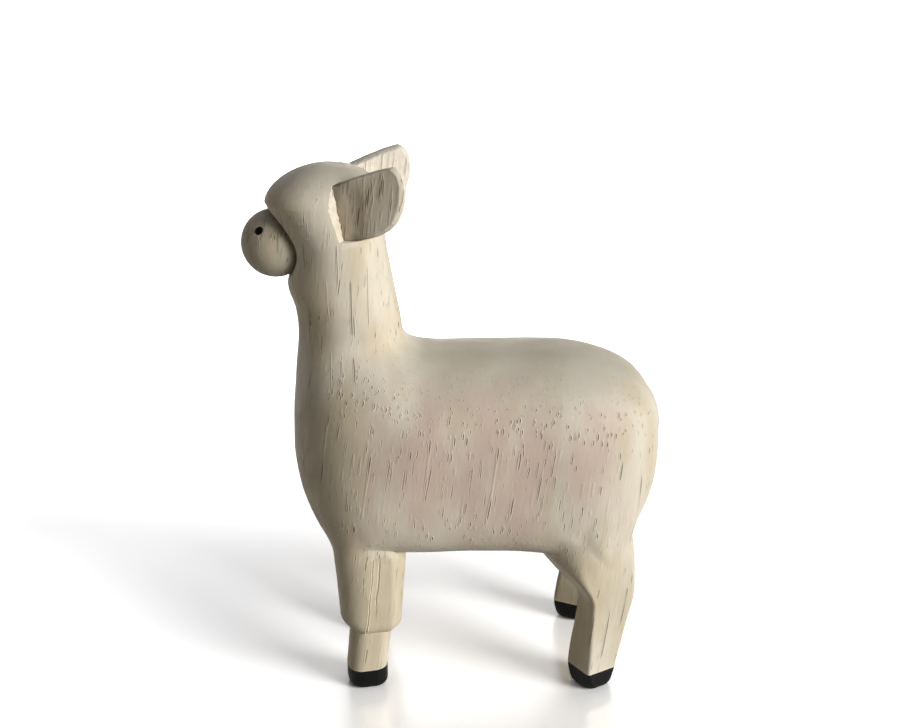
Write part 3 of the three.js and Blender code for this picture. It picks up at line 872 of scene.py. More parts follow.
@dataclass
class Stance:
    """The four legs and the block they grow out of, as one set of surfaces."""

    block: BodyBlock
    front: FrontLeg
    rear: RearLeg
    sink: float = 0.12
    reach: float = 0.6
    block_hold: float = 1.2
    block_fade: float = 0.8
    leg_hold: float = 1.0
    leg_fade: float = 0.7
    free_height: float = 14.0
    free_fade: float = 3.0
    around: int = 240
    crowding: float = 0.88
    steepest: float = 88.0
    far: float = 25.0
    end_far: float = 20.0

    def whole(self, points: Array) -> Array:
        """Distance from the block and all its legs, with the creases filled."""
        body = self.block.distance(points)
        joined = smooth_min(body, self.rear.housed(points), self.rear.blend(points))
        return smooth_min(joined, self.front.housed(points), self.front.blend(points))

    def leg(self, points: Array) -> Array:
        """Distance from the nearest leg."""
        return np.minimum(self.rear.housed(points), self.front.housed(points))

    def settle_block(self, skin: Skin) -> Skin:
        """Draws the block's skin out towards the legs, and sinks it where a leg covers it."""
        low = skin.grid[..., 2] < self.block.breast_z
        points = skin.grid[low]
        leg = self.leg(points)
        share = smooth_step((leg + self.block_hold) / self.block_fade)
        target = -self.sink * smooth_step(-leg / self.reach)
        grid = skin.grid.copy()
        grid[low] = settle(points, self.whole, target, share)
        return Skin(grid, skin.start, skin.end)

    def settle_leg(self, grid: Array, own: Field) -> Array:
        """Draws a leg's upper end out to the body, and sinks it where the body covers it."""
        body = self.block.distance(grid)
        share = smooth_step((body + self.leg_hold) / self.leg_fade)
        share = share * smooth_step((grid[..., 2] - self.free_height) / self.free_fade)
        target = -self.sink * smooth_step((own(grid) - body) / self.reach)
        return settle(grid, self.whole, target, share)

    def angles(self) -> Array:
        """Angles round a leg, from straight out: a sine makes them about eight times closer there."""
        even = ring_angles(self.around)
        return even - self.crowding * np.sin(even)

    def tube(self, shape: Field, heights: Array, middles: Array) -> Skin:
        """A leg's surface: level rays out of its middle line, one ring for each height."""
        angle = self.angles()
        directions = np.stack([np.cos(angle), np.sin(angle), np.zeros_like(angle)], axis=-1)
        axis = np.concatenate([middles, heights[:, None]], axis=1)
        origins = np.repeat(axis[:, None, :], self.around, axis=1)
        grid = cast(shape, origins, np.repeat(directions[None], len(heights), axis=0), self.far)
        return Skin(grid, axis[0], axis[-1])

    def bowl(self, shape: Field, middle: Array, count: int) -> Array:
        """A leg's lower end: rays that fan from straight down to level, out of one point."""
        dip = np.radians(np.linspace(self.steepest, 0.0, count))
        angle = self.angles()
        flat = np.cos(dip)[:, None]
        directions = np.stack([flat * np.cos(angle), flat * np.sin(angle),
                               np.repeat(-np.sin(dip)[:, None], self.around, axis=1)], axis=-1)
        return cast(shape, np.broadcast_to(middle, directions.shape), directions, self.end_far)

    def rear_leg(self, rings: int = 150) -> Skin:
        """Thigh and shank, from the hoof up into the body."""
        heights = np.linspace(self.rear.hoof_height, self.rear.top, rings)
        leg = self.tube(self.rear.section, heights, self.rear.middle(heights))
        return Skin(self.settle_leg(leg.grid, self.rear.section), leg.start, leg.end)

    def upper_leg(self, rings: int = 120, end_rings: int = 50, end_height: float = 4.0) -> Skin:
        """The thick upper front leg, from its rounded lower end up into the body."""
        front = self.front
        seat = front.cuff_height + end_height
        bowl = self.bowl(front.upper, np.array([*front.place, seat]), end_rings)
        heights = np.linspace(seat, self.block.belly_height + front.housing, rings)[1:]
        tube = self.tube(front.sleeve, heights, np.repeat(front.place[None], len(heights), axis=0))
        grid = self.settle_leg(np.concatenate([bowl, tube.grid]), front.sleeve)
        return Skin(grid, np.array([*front.place, front.cuff_height]), tube.end)

    def lower_leg(self, rings: int = 60, tenon: float = 2.0) -> Skin:
        """The slimmer lower front leg, from the hoof up into the upper leg."""
        heights = np.linspace(self.front.hoof_height, self.front.cuff_height + tenon, rings)
        return self.tube(self.front.shank, heights, self.front.shank_middle(heights))

    def hoof(self, shape: Field, middle: Array, height: float, rings: int = 44) -> Skin:
        """A hoof: a bowl of rays below its flat top."""
        top = np.array([*middle, height])
        return Skin(self.bowl(shape, top, rings), np.array([*middle, 0.0]), top)


# Head


@dataclass
class Muzzle:
    """Ball with a flat back that sits in the hood, and the eye pegs in it."""

    block: BodyBlock
    diameter: float = 12.0
    back: float = 1.6
    drop: float = 7.5
    flat: float = 4.5
    tilt: float = 14.0
    gap: float = 0.6
    rim: float = 0.4
    eye_diameter: float = 1.6
    eye_proud: float = 0.2
    eye_dome: float = 0.35
    eye_depth: float = 1.2
    eye_turn: float = 62.0
    eye_lift: float = 32.0
    ball_rings: int = 120
    ball_columns: int = 160
    eye_rings: int = 14
    eye_columns: int = 40

    def __post_init__(self) -> None:
        """Works out the ball's middle in the frame."""
        self.middle = np.array([0.0, self.block.brow_y + self.back, self.block.brow_z - self.drop])

    def socket(self, skin: Skin) -> Skin:
        """Presses the ball's seat into the face: points nearer than the seat's radius move out to it.

        The larger of the two radii is taken with its edge rounded, which leaves a soft lip all round the seat.
        """
        away = skin.grid - self.middle
        radius = np.linalg.norm(away, axis=-1)
        pressed = smooth_max(radius, np.full_like(radius, self.diameter / 2 + self.gap), self.rim)
        return Skin(self.middle + away * (pressed / radius)[..., None], skin.start, skin.end)

    def ball(self) -> Skin:
        """The ball: rays in all directions, cut off flat at the back."""
        axis = np.array([0.0, -math.cos(math.radians(self.tilt)), -math.sin(math.radians(self.tilt))])
        side = np.array([1.0, 0.0, 0.0])
        up = np.cross(axis, side)
        rise = np.radians(np.linspace(1.0, 179.0, self.ball_rings))[:, None, None]
        angle = ring_angles(self.ball_columns)[None, :, None]
        rays = np.cos(rise) * axis + np.sin(rise) * (np.cos(angle) * side + np.sin(angle) * up)
        radius = self.diameter / 2
        reach = np.minimum(radius, -self.flat / np.minimum(np.cos(rise), -TINY))
        reach = np.where(np.cos(rise) < 0.0, reach, radius)
        return Skin(self.middle + rays * reach, self.middle + axis * radius, self.middle - axis * self.flat)

    def eye(self) -> Skin:
        """A peg with a domed end, set into the ball."""
        lift, turn = math.radians(self.eye_lift), math.radians(self.eye_turn)
        axis = np.array([math.cos(lift) * math.sin(turn), -math.cos(lift) * math.cos(turn), math.sin(lift)])
        side = np.cross(axis, [0.0, 0.0, 1.0])
        side /= np.linalg.norm(side)
        up = np.cross(side, axis)
        bend = np.radians(np.linspace(2.0, 90.0, self.eye_rings))
        radius = np.concatenate([np.sin(bend), [1.0]]) * self.eye_diameter / 2
        height = np.concatenate([self.eye_dome * np.cos(bend), [-self.eye_depth]])
        angle = ring_angles(self.eye_columns)[None, :, None]
        foot = self.middle + axis * (self.diameter / 2 + self.eye_proud - self.eye_dome)
        grid = foot + axis * height[:, None, None] + radius[:, None, None] * (np.cos(angle) * side + np.sin(angle) * up)
        return Skin(grid, foot + axis * self.eye_dome, foot - axis * self.eye_depth)


@dataclass
class Ear:
    """Leaf ear, a rounded plate whose front lies in a notch of the head.

    The width of its edge is given at places round the leaf, which count the four curves of the outline.
    """

    block: BodyBlock
    length: float = 12.6
    base: float = 9.1
    tip: float = 10.8
    sag: float = 1.22
    hang: float = 0.85
    rise: float = 0.27
    swell: float = 1.06
    thickness: float = 2.7
    back: float = 7.8
    drop: float = 0.9
    notch: float = 2.3
    pitch: float = 11.0
    spread: float = 18.0
    root: float = 2.6
    crease: float = 25.0
    edge_places: tuple[float, ...] = (0.0, 0.8, 1.3, 2.0, 2.5, 4.0)
    edge_widths: tuple[float, ...] = (0.7, 1.2, 1.7, 0.9, 0.5, 0.5)
    curve_points: int = 60
    face_rings: int = 40
    edge_rings: int = 12

    def __post_init__(self) -> None:
        """Works out the ear's own axes, which are along it, up it and out of its face, and its middle."""
        cosine, sine = math.cos(math.radians(self.spread)), math.sin(math.radians(self.spread))
        turn = np.array([[cosine, sine, 0.0], [-sine, cosine, 0.0], [0.0, 0.0, 1.0]])
        cosine, sine = math.cos(math.radians(self.pitch)), math.sin(math.radians(self.pitch))
        rise = np.array([[1.0, 0.0, 0.0], [0.0, cosine, -sine], [0.0, sine, cosine]])
        self.axes = (turn @ rise @ np.array([[0.0, 0.0, 1.0], [1.0, 0.0, 0.0], [0.0, 1.0, 0.0]])).T
        self.foot = np.array([self.block.head_width / 2 - self.notch, self.block.nape_y - self.back,
                              self.block.brow_z - self.drop])
        self.middle = np.array([self.length * 0.48, 0.4])

    def placed(self, flat: Array) -> Array:
        """Points of the flat ear, as along, up and out, in the frame."""
        return self.foot + flat @ self.axes

    def flat(self, points: Array) -> Array:
        """Points of the frame, on either side of the animal, as along, up and out of the ear."""
        beside = np.concatenate([np.abs(points[..., :1]), points[..., 1:]], axis=-1)
        return (beside - self.foot) @ self.axes.T

    def outline(self, front: float, grow: float) -> Array:
        """The leaf, seen flat: a straight front, full lower and rear curves and a nearly straight upper edge.

        The knots of its curves lie at shares of its length and of its half heights.

        Args:
            front: How far the front lies ahead of the ear's base.
            grow: How far the other edges lie outside the leaf.

        Returns:
            Points round the leaf, as along and up.
        """
        low, high, end = self.base / 2 + grow, self.tip - self.base / 2 + grow, self.length + grow
        lobe, peak = (end * 0.88, -low * 0.43), (end * 0.9, high)
        brow = (-front, low * self.hang + (self.root - front) * self.rise)
        heel, share = (-front, -low), np.arange(self.curve_points) / self.curve_points
        lower = [heel, (end * 0.38, -low * self.sag), (end * 0.72, -low * self.sag * 0.95), lobe]
        rear = [lobe, (end * self.swell, high * 0.25), (end * self.swell, high * 0.9), peak]
        return np.concatenate([bezier(knots, share) for knots in (lower, rear, [peak, (end * 0.5, high), brow],
                                                                  [brow, heel])])

    def plate(self) -> Skin:
        """The ear: rings go from the middle of its face over the rounded edge to the middle of its back.

        A ring is the outline drawn in towards the leaf's middle, at a depth behind the face. The face is flat and
        ends in a crease. From there the edge is an arc on the face's side and a quarter ellipse on the other. It is
        widest behind, narrower below and thin along the top.
        """
        leaf, middle = self.outline(front=self.root, grow=0.0), self.middle
        spoke = (middle - leaf) / np.linalg.norm(middle - leaf, axis=1)[:, None]
        round_leaf = np.linspace(0.0, 4.0, len(leaf))
        edge = interpolate(round_leaf, self.edge_places, self.edge_widths, soft=0.3)
        start = math.radians(self.crease)
        front = np.linspace(start, math.pi / 2, self.edge_rings)[:, None]
        rear = np.linspace(0.0, math.pi / 2, self.edge_rings)[:, None]
        face = np.ones((self.face_rings, len(leaf)))
        inset = np.concatenate([face * edge * (1 - math.sin(start)), edge * (1 - np.sin(front)),
                                edge * (1 - np.cos(rear)), face * edge])
        share = np.linspace(0.97, 0.0, self.face_rings)
        drawn = np.concatenate([share, np.zeros(2 * self.edge_rings), share[::-1]])
        turn = edge * math.cos(start)
        depth = np.concatenate([face * 0.0, edge * (math.cos(start) - np.cos(front)),
                                turn + (self.thickness - turn) * np.sin(rear), face * self.thickness])
        rim = leaf + spoke * inset[..., None]
        flat = rim + (middle - rim) * drawn[:, None, None]
        return Skin(self.placed(np.concatenate([flat, -depth[..., None]], axis=-1)),
                    self.placed(np.array([*middle, 0.0])), self.placed(np.array([*middle, -self.thickness])))

    def chip(self, up: Array) -> Array:
        """How far the notch's front wall leans out, which is most where wood broke away above its middle."""
        return interpolate(up, (-self.base / 2, 1.0, self.base / 2), (0.03, 0.28, 0.0), 1.5)

    def chipped(self, points: Array) -> Array:
        """Share of raw wood on the notch's front wall and along the head below the ear."""
        along, up, out = np.moveaxis(self.flat(points), -1, 0)
        wall = smooth_step((along + 1.3) / 0.9) * smooth_step((0.8 - along) / 0.2) * band(up, 0.0, self.base / 2, 0.6)
        under = band(up, -self.base / 2 - 0.7, 1.0, 0.7) * smooth_step((along + 0.5) / 0.8)
        under = under * smooth_step((8.0 - along) / 2.0)
        return np.maximum(0.25 * wall, 0.5 * under) * smooth_step((out + 0.2) / 0.5)

    def raw_and_lit(self, points: Array) -> Array:
        """Raw wood behind the ear's face, where the wash is rubbed off, kept pale as painted light on the far ear."""
        return smooth_step((-0.35 - self.flat(points)[..., 2]) / 0.6)

    def cutter(self) -> Skin:
        """What the knife takes out of the head in front of the ear's face, with a broken front wall."""
        wall = 4.0
        levels = np.concatenate([[-1.2, -0.4], np.linspace(0.1, wall, 14), [9.0]])
        leaf = self.outline(front=-0.5, grow=0.1)
        rings = np.repeat(leaf[None], len(levels), axis=0)
        front = slice(-self.curve_points, None)
        rings[:, front, 0] -= self.chip(leaf[front, 1])[None] * np.clip(levels, 0.0, wall)[:, None]
        out = np.repeat(levels[:, None], rings.shape[1], axis=1)
        flat = np.concatenate([rings, out[..., None]], axis=-1)
        flat[:, front, 0] += hand_cut(flat[:, front], 1.0, 0.05, seed=7)
        return Skin(self.placed(flat), *(self.placed(np.array([*self.middle, levels[end]])) for end in (0, -1)))


@dataclass
class Tail:
    """Low leaf that follows the rump, thickest down its middle and feathered into the wood at its edge."""

    block: BodyBlock
    width: float = 8.0
    length: float = 12.0
    thickness: float = 0.55
    rise: float = 3.5
    sunk: float = 0.5
    below: float = 0.4
    taper: float = 0.18
    rings: int = 40
    under_rings: int = 12
    columns: int = 120

    def rump(self, across: Array, up: Array) -> Array:
        """The rump's surface behind a place in the rear view, from the superellipse of the block's rear end."""
        block = self.block
        above = np.maximum(up - block.breast_z, 0.0) / (block.back_height - block.breast_z)
        below = np.maximum(block.breast_z - up, 0.0) / block.breast_height
        wide = np.abs(across) / (block.body_width / 2)
        power = block.end_square
        level = (wide**power + above**power) ** (1 / power)
        forward = block.rump_round * (1 - np.maximum(1 - level**power, 0.0) ** (1 / power))
        low = block.buttock_square
        under = block.buttock_round * (1 - np.maximum(1 - below**low, 0.0) ** (1 / low))
        return block.rump_y - np.maximum(forward, under)

    def leaf(self) -> Skin:
        """The leaf: rings of an oval from its middle to its edge, then back inside the wood."""
        first = 0.03
        share = np.concatenate([np.linspace(first, 1.0, self.rings), np.linspace(1.0, first, self.under_rings)])
        share, angle = share[:, None], ring_angles(self.columns)[None]
        across = share * np.sin(angle) * self.width / 2 * (1.0 - self.taper * np.cos(angle))
        centre = self.block.breast_z + self.rise
        up = centre + share * np.cos(angle) * self.length / 2
        lift = np.sqrt(np.maximum(1.0 - share**2, 0.0)) * (self.thickness + self.sunk) - self.sunk
        lift[self.rings:] = -self.sunk - self.below
        middle = np.array([0.0, self.rump(np.zeros(1), np.full(1, centre))[0], centre])
        ends = [middle + np.array([0.0, step, 0.0]) for step in (self.thickness, -self.sunk - self.below)]
        return Skin(np.stack([across, self.rump(across, up) + lift, up], axis=-1), *ends)


def carve(piece: bpy.types.Mesh, cutters: Sequence[bpy.types.Mesh], sharp: float) -> bpy.types.Mesh:
    """Cuts meshes out of a mesh.

    Args:
        piece: Mesh to cut.
        cutters: Meshes to take away.
        sharp: Degrees between faces past which an edge stays sharp.

    Returns:
        The cut mesh, under the name of the first one.
    """
    name = piece.name
    block = put("block", piece)
    tools = [put("knife", cutter) for cutter in cutters]
    for tool in tools:
        cut = block.modifiers.new("cut", "BOOLEAN")
        cut.operation, cut.solver, cut.object = "DIFFERENCE", "EXACT", tool
    graph = bpy.context.evaluated_depsgraph_get()
    carved = bpy.data.meshes.new_from_object(block.evaluated_get(graph))
    for spare in [block, *tools]:
        mesh = spare.data
        bpy.data.objects.remove(spare)
        bpy.data.meshes.remove(mesh)
    carved.name = name
    carved.materials.clear()
    carved.polygons.foreach_set("use_smooth", np.ones(len(carved.polygons), bool))
    carved.set_sharp_from_angle(angle=math.radians(sharp))
    return carved


# Finishes


def colour(code: str) -> tuple[float, float, float, float]:
    """An sRGB hex colour as linear values."""
    values = [int(code[k:k + 2], 16) / 255.0 for k in (1, 3, 5)]
    linear = [v / 12.92 if v <= 0.04045 else ((v + 0.055) / 1.055) ** 2.4 for v in values]
    return (*linear, 1.0)


def add_node(tree: bpy.types.NodeTree, kind: str, inputs: dict | None = None, **settings) -> bpy.types.Node:
    """Adds a node with its settings and links.

    Args:
        tree: Tree to add to.
        kind: Type name of the node.
        inputs: By an input's name or number, a node whose first output is linked, a socket that is linked, an sRGB
            hex colour or a plain value.
        **settings: Properties of the node.

    Returns:
        The node.
    """
    node = tree.nodes.new(kind)
    for key, value in settings.items():
        setattr(node, key, value)
    for key, value in (inputs or {}).items():
        if isinstance(value, bpy.types.Node):
            value = value.outputs[0]
        if isinstance(value, bpy.types.NodeSocket):
            tree.links.new(value, node.inputs[key])
        else:
            node.inputs[key].default_value = colour(value) if isinstance(value, str) else value
    return node


def start_finish(name: str) -> tuple[bpy.types.Material, Adder, bpy.types.Node]:
    """Starts a finish.

    Args:
        name: Name of the real material.

    Returns:
        The empty material, what adds nodes to it, and the place on the object in millimetres.
    """
    material = bpy.data.materials.new(name)
    material.use_nodes = True
    material.node_tree.nodes.clear()
    add = partial(add_node, material.node_tree)
    place = add("ShaderNodeTexCoord").outputs["Object"]
    return material, add, add(VECTOR, {0: place, "Scale": 1.0 / MM}, operation="SCALE")


def end_finish(add: Adder, base: bpy.types.NodeSocket, roughness: bpy.types.Node, relief: bpy.types.Node,
               gloss: float = 0.5) -> None:
    """Ends a finish with its shader.

    Args:
        add: Adds nodes to the finish.
        base: Its colour.
        roughness: Its roughness.
        relief: Its relief in millimetres.
        gloss: Its specular level, where 0.5 is plain.
    """
    shader = add("ShaderNodeBsdfPrincipled", {
        "Base Color": base, "Roughness": roughness, "Specular IOR Level": gloss,
        "Normal": add("ShaderNodeBump", {"Strength": 1.0, "Distance": MM, "Height": relief})})
    add("ShaderNodeOutputMaterial", {"Surface": shader})


@dataclass(frozen=True)
class Pores:
    """Open vessels of the wood: upright tubes that wander a little, so that a cut shows them as flecks.

    Drying splits are upright sheets instead, straight through the figure, so that its sides show long lines.

    Attributes:
        spacing: Millimetres between vessels.
        radius: Radius of the widest vessels.
        wander: How far a vessel wanders sideways.
        reach: Length over which it wanders.
        run: Length of the open stretches in a vessel.
        closed: Share of noise below which a vessel is closed.
        stain: How dark the darkest pores are.
        sheets: Whether they are drying splits.
        drift_width: Distance sideways over which neighbours wander together.
        opening: Share of noise over which a vessel opens.
        lip: Height of the raised lips.
        depth: Depth of the groove.
    """

    spacing: float
    radius: float
    wander: float
    reach: float
    run: float
    closed: float
    stain: float = 0.7
    sheets: bool = False
    drift_width: float = 9.0
    opening: float = 0.12
    lip: float = 0.045
    depth: float = 0.16

    def cut(self, add: Adder, grain: bpy.types.Node) -> tuple[bpy.types.Node, bpy.types.Node]:
        """Reads the pores at each place: the distance to the nearest vessel against its width there.

        Args:
            add: Adds nodes to the finish.
            grain: Place in the wood, with the grain along Z.

        Returns:
            The share of dark pore, and the relief in millimetres, which is a groove between raised lips.
        """
        stretched = add(VECTOR, {0: grain, 1: (self.drift_width, self.drift_width, self.reach)}, operation="DIVIDE")
        drift = add(NOISE, {"Vector": stretched, "Scale": 1.0, "Detail": 1.0}).outputs["Color"]
        drift = add(VECTOR, {0: drift, 1: (0.5, 0.5, 0.5)}, operation="SUBTRACT")
        drift = add(VECTOR, {0: drift, "Scale": 2.0 * self.wander}, operation="SCALE")
        moved = add(VECTOR, {0: grain, 1: drift}, operation="ADD")
        spot = {"W": add("ShaderNodeSeparateXYZ", {0: moved}).outputs[1]} if self.sheets else {"Vector": moved}
        cells = add("ShaderNodeTexVoronoi", {**spot, "Scale": 1.0 / self.spacing},
                    voronoi_dimensions="1D" if self.sheets else "2D")
        chance = add("ShaderNodeSeparateColor", {0: cells.outputs["Color"]}).outputs
        height = add("ShaderNodeSeparateXYZ", {0: grain}).outputs[2]
        along = add("ShaderNodeCombineXYZ", {0: add(MATH, {0: chance[0], 1: 97.0}, operation="MULTIPLY"),
                                             1: add(MATH, {0: height, 1: self.run}, operation="DIVIDE")})
        stretch = add(NOISE, {"Vector": along, "Scale": 1.0, "Detail": 0.0}, noise_dimensions="2D")
        opened = add(RANGE, {0: stretch, 1: self.closed, 2: self.closed + self.opening}, interpolation_type=SMOOTH)
        size = add(RANGE, {0: chance[1], 3: 0.4 * self.radius, 4: self.radius}, interpolation_type=SMOOTH)
        width = add(MATH, {0: opened, 1: size}, operation="MULTIPLY")
        away = add(MATH, {0: cells.outputs["Distance"], 1: self.spacing}, operation="MULTIPLY")
        past = add(MATH, {0: width, 1: away}, operation="SUBTRACT")
        inside = add(RANGE, {0: past, 1: -0.07, 2: 0.05}, interpolation_type=SMOOTH)
        inside = add(MATH, {0: inside, 1: opened}, operation="MULTIPLY")
        lips = add(RANGE, {0: past, 1: -0.24, 2: -0.06, 4: self.lip}, interpolation_type=SMOOTH)
        lips = add(MATH, {0: lips, 1: opened}, operation="MULTIPLY")
        stain = add(RANGE, {0: chance[2], 3: 0.3 * self.stain, 4: self.stain}, interpolation_type=SMOOTH)
        share = add(MATH, {0: inside, 1: stain}, operation="MULTIPLY")
        return share, add(MATH, {0: inside, 1: -self.depth, 2: lips}, operation="MULTIPLY_ADD")


@dataclass(frozen=True)
class WashedWood:
    """Pale open-pored hardwood, carved with a knife, sanded on the body and rubbed with a thin white wash.

    The eye gets a dry, chalky skin that the pores and the fibres break through. The grain stands upright in the
    whole figure, as it does in a block cut out of one board.
    """

    name: str = "whitewashed_hardwood"
    cream: str = "#f0e8d9"
    straw: str = "#ddd1b8"
    blush: str = "#e1cdc0"
    # Greyer tint that level faces, up or down, turn towards.
    level: str = "#d3cfc2"
    pore: str = "#79664f"
    # Colour of the painted shade in the gaps between pieces.
    painted_gap_shade: str = "#5f5038"
    raw: str = "#fdf6ea"
    heart: tuple[float, float, float] = (0.0, 4.0, 47.0)
    heart_length: float = 25.0
    heart_height: float = 16.0
    grain_lean: tuple[float, float, float] = (8.0, 1.5, 0.0)
    gloss: float = 0.3
    fibre: float = 0.075
    limb_pores: float = 0.6
    thin: float = 0.35
    flecks: Pores = Pores(spacing=0.66, radius=0.12, wander=0.6, reach=20.0, run=3.2, closed=0.505)
    cracks: Pores = Pores(spacing=1.9, radius=0.16, wander=0.8, reach=40.0, run=10.0, closed=0.46, stain=0.95)
    splits: Pores = Pores(spacing=1.5, radius=0.065, wander=1.0, reach=30.0, run=6.0, closed=0.53, stain=0.9,
                          sheets=True)

    def tone(self, add: Adder, place: bpy.types.Node, limb: bpy.types.Node) -> bpy.types.NodeSocket:
        """Colour under the wash: cream, straw in the limbs, a pink heart, and straw on the chest as painted warm shade.

        Args:
            add: Adds nodes to the finish.
            place: Place on the object in millimetres.
            limb: 1 on the legs, neck and head, and 0 on the body.

        Returns:
            The colour.
        """
        _, ahead, height = add("ShaderNodeSeparateXYZ", {0: place}).outputs
        # Painted warm shade: straw is pushed onto the lower chest front, which is turned from the light.
        front, low = (add(RANGE, {0: at, 1: start, 2: end, 4: most}, interpolation_type=SMOOTH)
                      for at, start, end, most in ((ahead, -8.0, -26.0, 0.26), (height, 62.0, 50.0, 1.0)))
        chest = add(MATH, {0: front, 1: low}, operation="MULTIPLY")
        clouds, edge = (
            add(NOISE, {"Vector": add(VECTOR, {0: place, 1: size}, operation="DIVIDE"), "Scale": 1.0, "Detail": detail})
            for size, detail in (((7.0, 7.0, 22.0), 3.0), ((7.5, 7.5, 19.0), 4.0)))
        clouds = add(MATH, {0: clouds, 1: chest}, operation="ADD")
        clouds = add(MATH, {0: limb, 1: 0.09, 2: clouds}, operation="MULTIPLY_ADD")
        yellow = add(RANGE, {0: clouds, 1: 0.42, 2: 0.7, 4: 0.95}, interpolation_type=SMOOTH)
        base = add(MIX, {0: yellow, 6: self.cream, 7: self.straw}, data_type="RGBA").outputs[2]
        apart = add(VECTOR, {0: place, 1: self.heart}, operation="SUBTRACT")
        oval = (0.0, 1.0 / self.heart_length, 1.0 / self.heart_height)
        apart = add(VECTOR, {0: apart, 1: oval}, operation="MULTIPLY")
        radius = add(VECTOR, {0: apart}, operation="LENGTH").outputs["Value"]
        radius = add(MATH, {0: edge, 1: 3.0, 2: radius}, operation="MULTIPLY_ADD")
        heart = add(RANGE, {0: radius, 1: 1.6, 2: 2.7, 3: 0.95, 4: 0.0}, interpolation_type=SMOOTH)
        return add(MIX, {0: heart, 6: base, 7: self.blush}, data_type="RGBA").outputs[2]

    def material(self) -> bpy.types.Material:
        """Builds the finish."""
        material, add, place = start_finish(self.name)
        lean = tuple(math.radians(angle) for angle in self.grain_lean)
        grain = add("ShaderNodeMapping", {"Vector": place, "Rotation": lean})
        _, ahead, height = add("ShaderNodeSeparateXYZ", {0: place}).outputs
        legs, head, above, below, front = (
            add(RANGE, {0: at, 1: start, 2: end}, interpolation_type=SMOOTH) for at, start, end in (
                (height, 31.0, 22.0), (height, 56.0, 68.0), (height, 57.0, 62.0), (height, 90.0, 84.0),
                (ahead, -12.0, -19.0)))
        limb = add(MATH, {0: legs, 1: head}, operation="MAXIMUM")
        neck = add(MATH, {0: above, 1: below}, operation="MULTIPLY")
        neck = add(MATH, {0: neck, 1: front}, operation="MULTIPLY")
        fibres, mottle, chips, patches = (
            add(NOISE, {"Vector": add(VECTOR, {0: at, 1: size}, operation="DIVIDE"), "Scale": 1.0, "Detail": detail})
            for at, size, detail in ((grain, (0.55, 0.55, 11.0), 4.0), (place, (2.4, 2.4, 4.0), 5.0),
                                     (place, (0.5, 0.5, 1.2), 4.0), (place, (6.5, 6.5, 9.0), 2.0)))
        wear, level, painted_gap_shade = (add("ShaderNodeAttribute", attribute_name=name).outputs["Fac"]
                              for name in (WEAR, END_GRAIN, PAINTED_GAP_SHADE))

        # Pores thin out in patches, on end grain, on the limbs and where the wood is raw. Where the surface leans they
        # are paler and stand out a little more, and cracks close there. Drying splits are on the neck alone.
        patches = add(RANGE, {0: patches, 1: 0.36, 2: 0.55, 3: self.thin}, interpolation_type=SMOOTH)
        sparse = add(RANGE, {0: limb, 3: 1.0, 4: self.limb_pores}, interpolation_type=SMOOTH)
        flat, pale, proud, closed = (
            add(RANGE, {0: level, 1: start, 2: end, 3: 1.0, 4: last}, interpolation_type=SMOOTH)
            for start, end, last in ((0.4, 0.62, 0.35), (0.12, 0.45, 0.5), (0.12, 0.4, 1.3), (0.1, 0.4, 0.1)))
        shown = add(MATH, {0: flat, 1: sparse}, operation="MULTIPLY")
        shown = add(MATH, {0: shown, 1: patches}, operation="MULTIPLY")
        (fleck, pit), (crack, trench), (split, gap) = (
            [add(MATH, {0: part, 1: share}, operation="MULTIPLY") for part in kind.cut(add, at)]
            for kind, at, share in ((self.flecks, grain, shown), (self.cracks, grain, closed),
                                    (self.splits, place, neck)))
        fleck = add(MATH, {0: fleck, 1: pale}, operation="MULTIPLY")
        pit = add(MATH, {0: pit, 1: proud}, operation="MULTIPLY")
        dark = add(MATH, {0: fleck, 1: crack}, operation="MAXIMUM")
        dark = add(MATH, {0: dark, 1: split}, operation="MAXIMUM")
        washed = add(MATH, {0: wear, 1: -0.7, 2: 1.0}, operation="MULTIPLY_ADD")
        dark = add(MATH, {0: dark, 1: washed}, operation="MULTIPLY")

        # From the tone, the colour goes through greyer level faces, rubbed edges and pores to painted shade in the
        # gaps.
        streaks = add(MATH, {0: limb, 1: self.fibre, 2: self.fibre}, operation="MULTIPLY_ADD")
        value = add(MATH, {0: fibres, 1: streaks, 2: 0.88}, operation="MULTIPLY_ADD")
        value = add(MATH, {0: mottle, 1: 0.16, 2: value}, operation="MULTIPLY_ADD")
        base = add(VECTOR, {0: self.tone(add, place, limb), "Scale": value}, operation="SCALE")
        level_grey = add(RANGE, {0: level, 1: 0.4, 2: 1.0, 4: 0.7}, interpolation_type=SMOOTH)
        whole = add(RANGE, {0: chips, 1: 0.35, 2: 0.6, 3: 0.6}, interpolation_type=SMOOTH)
        worn = add(MATH, {0: wear, 1: whole}, operation="MULTIPLY")
        patchy = add(RANGE, {0: mottle, 1: 0.3, 2: 0.7, 3: 0.5, 4: 1.0}, interpolation_type=SMOOTH)
        # Painted shade in the gaps between pieces, broken into patches.
        stain = add(MATH, {0: painted_gap_shade, 1: patchy}, operation="MULTIPLY")
        for share, tint in ((level_grey, self.level), (worn, self.raw), (dark, self.pore), (stain, self.painted_gap_shade)):
            base = add(MIX, {0: share, 6: base, 7: tint}, data_type="RGBA").outputs[2]

        relief = add(MATH, {0: add(MATH, {0: pit, 1: trench}, operation="ADD"), 1: gap}, operation="ADD")
        torn = add(MATH, {0: wear, 1: chips}, operation="MULTIPLY")
        for part, rise in ((fibres, 0.02), (mottle, 0.06), (torn, 0.14)):
            relief = add(MATH, {0: part, 1: rise, 2: relief}, operation="MULTIPLY_ADD")
        roughness = add(RANGE, {0: mottle, 1: 0.3, 2: 0.7, 3: 0.55, 4: 0.72}, interpolation_type=SMOOTH)
        end_finish(add, base, roughness, relief, self.gloss)
        return material


